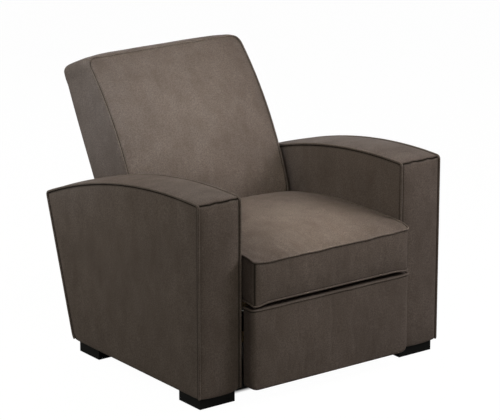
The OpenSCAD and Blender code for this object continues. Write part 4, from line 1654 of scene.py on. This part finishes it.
@dataclass
class Valance:
    """The low padded leather panel that closes the base at the rear."""

    finishes: Finishes
    tube: PathTube
    half: float = 0.2940
    low: float = 0.0620
    high: float = 0.2915
    set_in: float = 0.014
    half_thickness: float = 0.0068
    bead: float = 0.0026

    def build(self) -> None:
        """Builds the panel and the welt along its top and bottom."""
        lean = Arm.rear_lean

        def middle(z: float) -> float:
            """The panel's depth at a height."""
            return (FRONT + Arm.foot_depth - self.set_in / math.cos(lean)
                    + (z - FOOT_TOP) * math.tan(lean) - self.half_thickness)

        w, low, high = self.half, self.low, self.high
        corners = [np.array([x, middle(z), z])
                   for x, z in ((-w, low), (w, low), (w, high), (-w, high))]
        u, v = rows(2 * w, 40), rows(high - low, 18)
        ring = [at_shares(straight(corners[i], corners[(i + 1) % 4]), (u, v)[i % 2])
                for i in range(4)]
        shell = Shell("valance_leather")
        way = np.array([0, math.cos(lean), -math.sin(lean)])
        for out in (1, -1):
            grid = inside(ring, u, v)
            away = distance(grid, ring)
            rise = plump(away, 0.0054, 0.0035) + plump(away, 0.0012, 0.05)
            rise += crumple(grid, 0.0005, 0.07, 2.9 + out, away, 0.02)
            # painted shade, with dye, along the panel's welted edges
            shell.patch(grid + out * rise[..., None] * way, darken(away, 0.0030, 0.6))
        leather = shell.sew(self.finishes.leather)
        refine(leather)
        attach(leather, "base")
        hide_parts("rear_valance")
        welt = self.tube.lay("valance_welts", [at_shares(edge, np.linspace(0, 1, 110))
                                               for edge in (ring[0], ring[2])],
                             self.bead, self.finishes.welt)
        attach(welt, "base")
        LOG.info("built %s and %s", leather.name, welt.name)


# ------------------------------------------------------------------ studio


@dataclass(frozen=True)
class Lamp:
    """A soft box: a square lamp in metres and watts, its beam spread in degrees."""

    name: str
    place: tuple[float, float, float]
    aim: tuple[float, float, float]
    size: float
    spread: float
    power: float
    colour: Colour

    def hang(self) -> None:
        """Puts the lamp in the scene, turned to what it aims at."""
        lamp = bpy.data.lights.new(self.name, "AREA")
        lamp.energy, lamp.size, lamp.color = self.power, self.size, self.colour
        lamp.spread = math.radians(self.spread)
        holder = bpy.data.objects.new(self.name, lamp)
        holder.location = self.place
        way = Vector(self.aim) - Vector(self.place)
        holder.rotation_euler = way.to_track_quat("-Z", "Y").to_euler()
        bpy.context.scene.collection.objects.link(holder)


LAMPS = (
    Lamp("leftback", (-1.8, 0.7, 1.9), (0, 0.2, 0.6), 1.0, 180, 24.0, (0.99, 1.0, 0.89)),
    Lamp("rightnear", (1.6, -1.5, 1.8), (0, 0, 0.5), 0.9, 180, 29.5, (1.0, 1.0, 1.0)),
    Lamp("frontnear", (-0.4, -2.0, 2.0), (0, 0, 0.5), 1.0, 180, 10.4, (1.0, 0.98, 0.78)),
    Lamp("low beam", (-0.25, -1.1, 1.6), (0, 0.33, 0.68), 0.3, 36, 0.46, (0.90, 1.0, 0.97)),
    Lamp("back beam", (0.35, -1.5, 2.3), (0, 0.25, 0.62), 0.35, 34, 0.82, (1.0, 0.92, 0.78)),
    Lamp("seat beam", (0.25, -0.5, 1.9), (0, -0.40, 0.45), 0.25, 24, 0.35, (1.0, 0.97, 0.84)),
    Lamp("side beam", (-1.9, -0.2, 1.5), (-0.28, 0.33, 0.72), 0.3, 22, 0.34, (0.72, 0.86, 1.0)),
    Lamp("behind", (1.2, 2.8, 2.0), (0, 0, 0.4), 1.2, 180, 10.0, (1.0, 0.98, 0.96)),
)


@dataclass
class Studio:
    """Camera, lamps, floor and world."""

    eye: tuple[float, float, float] = (-4.4787, -6.0985, 2.6876)
    azimuth: float = -36.65
    elevation: float = 16.66
    lens: float = 186.76
    floor_half: float = 14.0
    shadow_half: tuple[float, float] = (0.25, 0.31)
    shadow_front: tuple[float, float] = (-0.350, -0.372)
    shadow_rear: tuple[float, float] = (0.23, 0.27)
    whiteness: float = 0.92

    def build(self) -> None:
        """Sets everything up."""
        scene = bpy.context.scene
        scene.view_settings.view_transform = "Standard"
        self.camera()
        self.floor()
        for lamp in LAMPS:
            lamp.hang()
        world = bpy.data.worlds.new("studio")
        scene.world = world
        tree = cleared(world)
        path = tree.add("ShaderNodeLightPath")
        seen = tree.math("ADD", path.outputs["Is Camera Ray"], path.outputs["Is Glossy Ray"])
        seen = tree.math("ADD", seen, path.outputs["Is Transmission Ray"], clamp=True)
        room = tree.add("ShaderNodeBackground", {"Color": (0.95, 0.97, 1.0, 1), "Strength": 0.06})
        white = tree.add("ShaderNodeBackground", {"Color": (1, 1, 1, 1), "Strength": 1.0})
        both = tree.add("ShaderNodeMixShader", {0: seen, 1: room.outputs[0], 2: white.outputs[0]})
        tree.add("ShaderNodeOutputWorld", {0: both.outputs[0]})

    def camera(self) -> None:
        """Sets the camera on its line of sight."""
        lens = bpy.data.cameras.new("camera")
        lens.lens, lens.sensor_width, lens.sensor_fit = self.lens, 36.0, "HORIZONTAL"
        camera = bpy.data.objects.new("camera", lens)
        a, e = math.radians(self.azimuth), math.radians(self.elevation)
        back = Vector((math.sin(a) * math.cos(e), -math.cos(a) * math.cos(e), math.sin(e)))
        camera.location = self.eye
        camera.rotation_euler = (-back).to_track_quat("-Z", "Y").to_euler()
        bpy.context.scene.collection.objects.link(camera)
        bpy.context.scene.camera = camera

    def floor(self) -> None:
        """Lays a floor that is white beyond the seat and shows the shadow only near it: there it
        drops its white glow, so its darker matt colour is a painted shadow patch, with the real
        shadow on it.
        """
        mesh = bpy.data.meshes.new("floor")
        s = self.floor_half
        mesh.from_pydata([(-s, -s, 0), (s, -s, 0), (s, s, 0), (-s, s, 0)], [], [(0, 1, 2, 3)])
        floor = bpy.data.objects.new("floor", mesh)
        bpy.context.scene.collection.objects.link(floor)
        material = bpy.data.materials.new("pale floor")
        tree = cleared(material)
        path = tree.add("ShaderNodeLightPath")
        matt = tree.add("ShaderNodeBsdfDiffuse", {"Color": (0.42, 0.42, 0.41, 1)})
        white = tree.add("ShaderNodeEmission", {"Color": (1, 1, 1, 1), "Strength": 1.07})
        where = tree.add("ShaderNodeTexCoord").outputs["Object"]
        place = tree.add("ShaderNodeSeparateXYZ", {0: where})
        # inside this soft-edged rectangle under the seat the white glow is off: a painted shadow
        # patch over the real shadow
        beside = tree.reach(tree.math("ABSOLUTE", place.outputs[0]), *self.shadow_half)
        before = tree.reach(place.outputs[1], *self.shadow_front)
        behind = tree.reach(place.outputs[1], *self.shadow_rear)
        clear = tree.math("MAXIMUM", tree.math("MAXIMUM", beside, before), behind)
        share = tree.math("MULTIPLY", tree.math("MULTIPLY", clear, self.whiteness),
                          path.outputs["Is Camera Ray"])
        both = tree.add("ShaderNodeMixShader", {0: share, 1: matt.outputs[0], 2: white.outputs[0]})
        tree.add("ShaderNodeOutputMaterial", {0: both.outputs[0]})
        mesh.materials.append(material)


# ------------------------------------------------------------------ all of it


def main() -> None:
    """Builds the studio, the finishes and every piece, in order."""
    logging.basicConfig(level=logging.INFO, format="%(message)s")
    Studio().build()
    finishes = Finishes()
    finishes.dress_nodes()
    tube = PathTube()
    for side in Side:
        Arm(side, finishes, tube).build()
    Valance(finishes, tube).build()
    Springs(finishes, tube).build()
    Lining(finishes, "seat_deck", half=0.276, start=0.020, end=0.535, top=0.3045,
           thickness=0.0014, sag=0.0004, seed=3.3).build()
    Lining(finishes, "dust_cover", half=0.236, start=0.180, end=0.535, top=0.2758,
           thickness=0.0008, sag=0.0060, seed=8.1).build()
    soft = {SeatCushion(finishes, tube): 0.020, Back(finishes, tube): 0.013,
            Footrest(finishes, tube): 0.005}
    swell([(piece.build(), Stuffing(rise)) for piece, rise in soft.items()])
    for piece in soft:
        piece.finish()


if __name__ == "__main__":
    main()
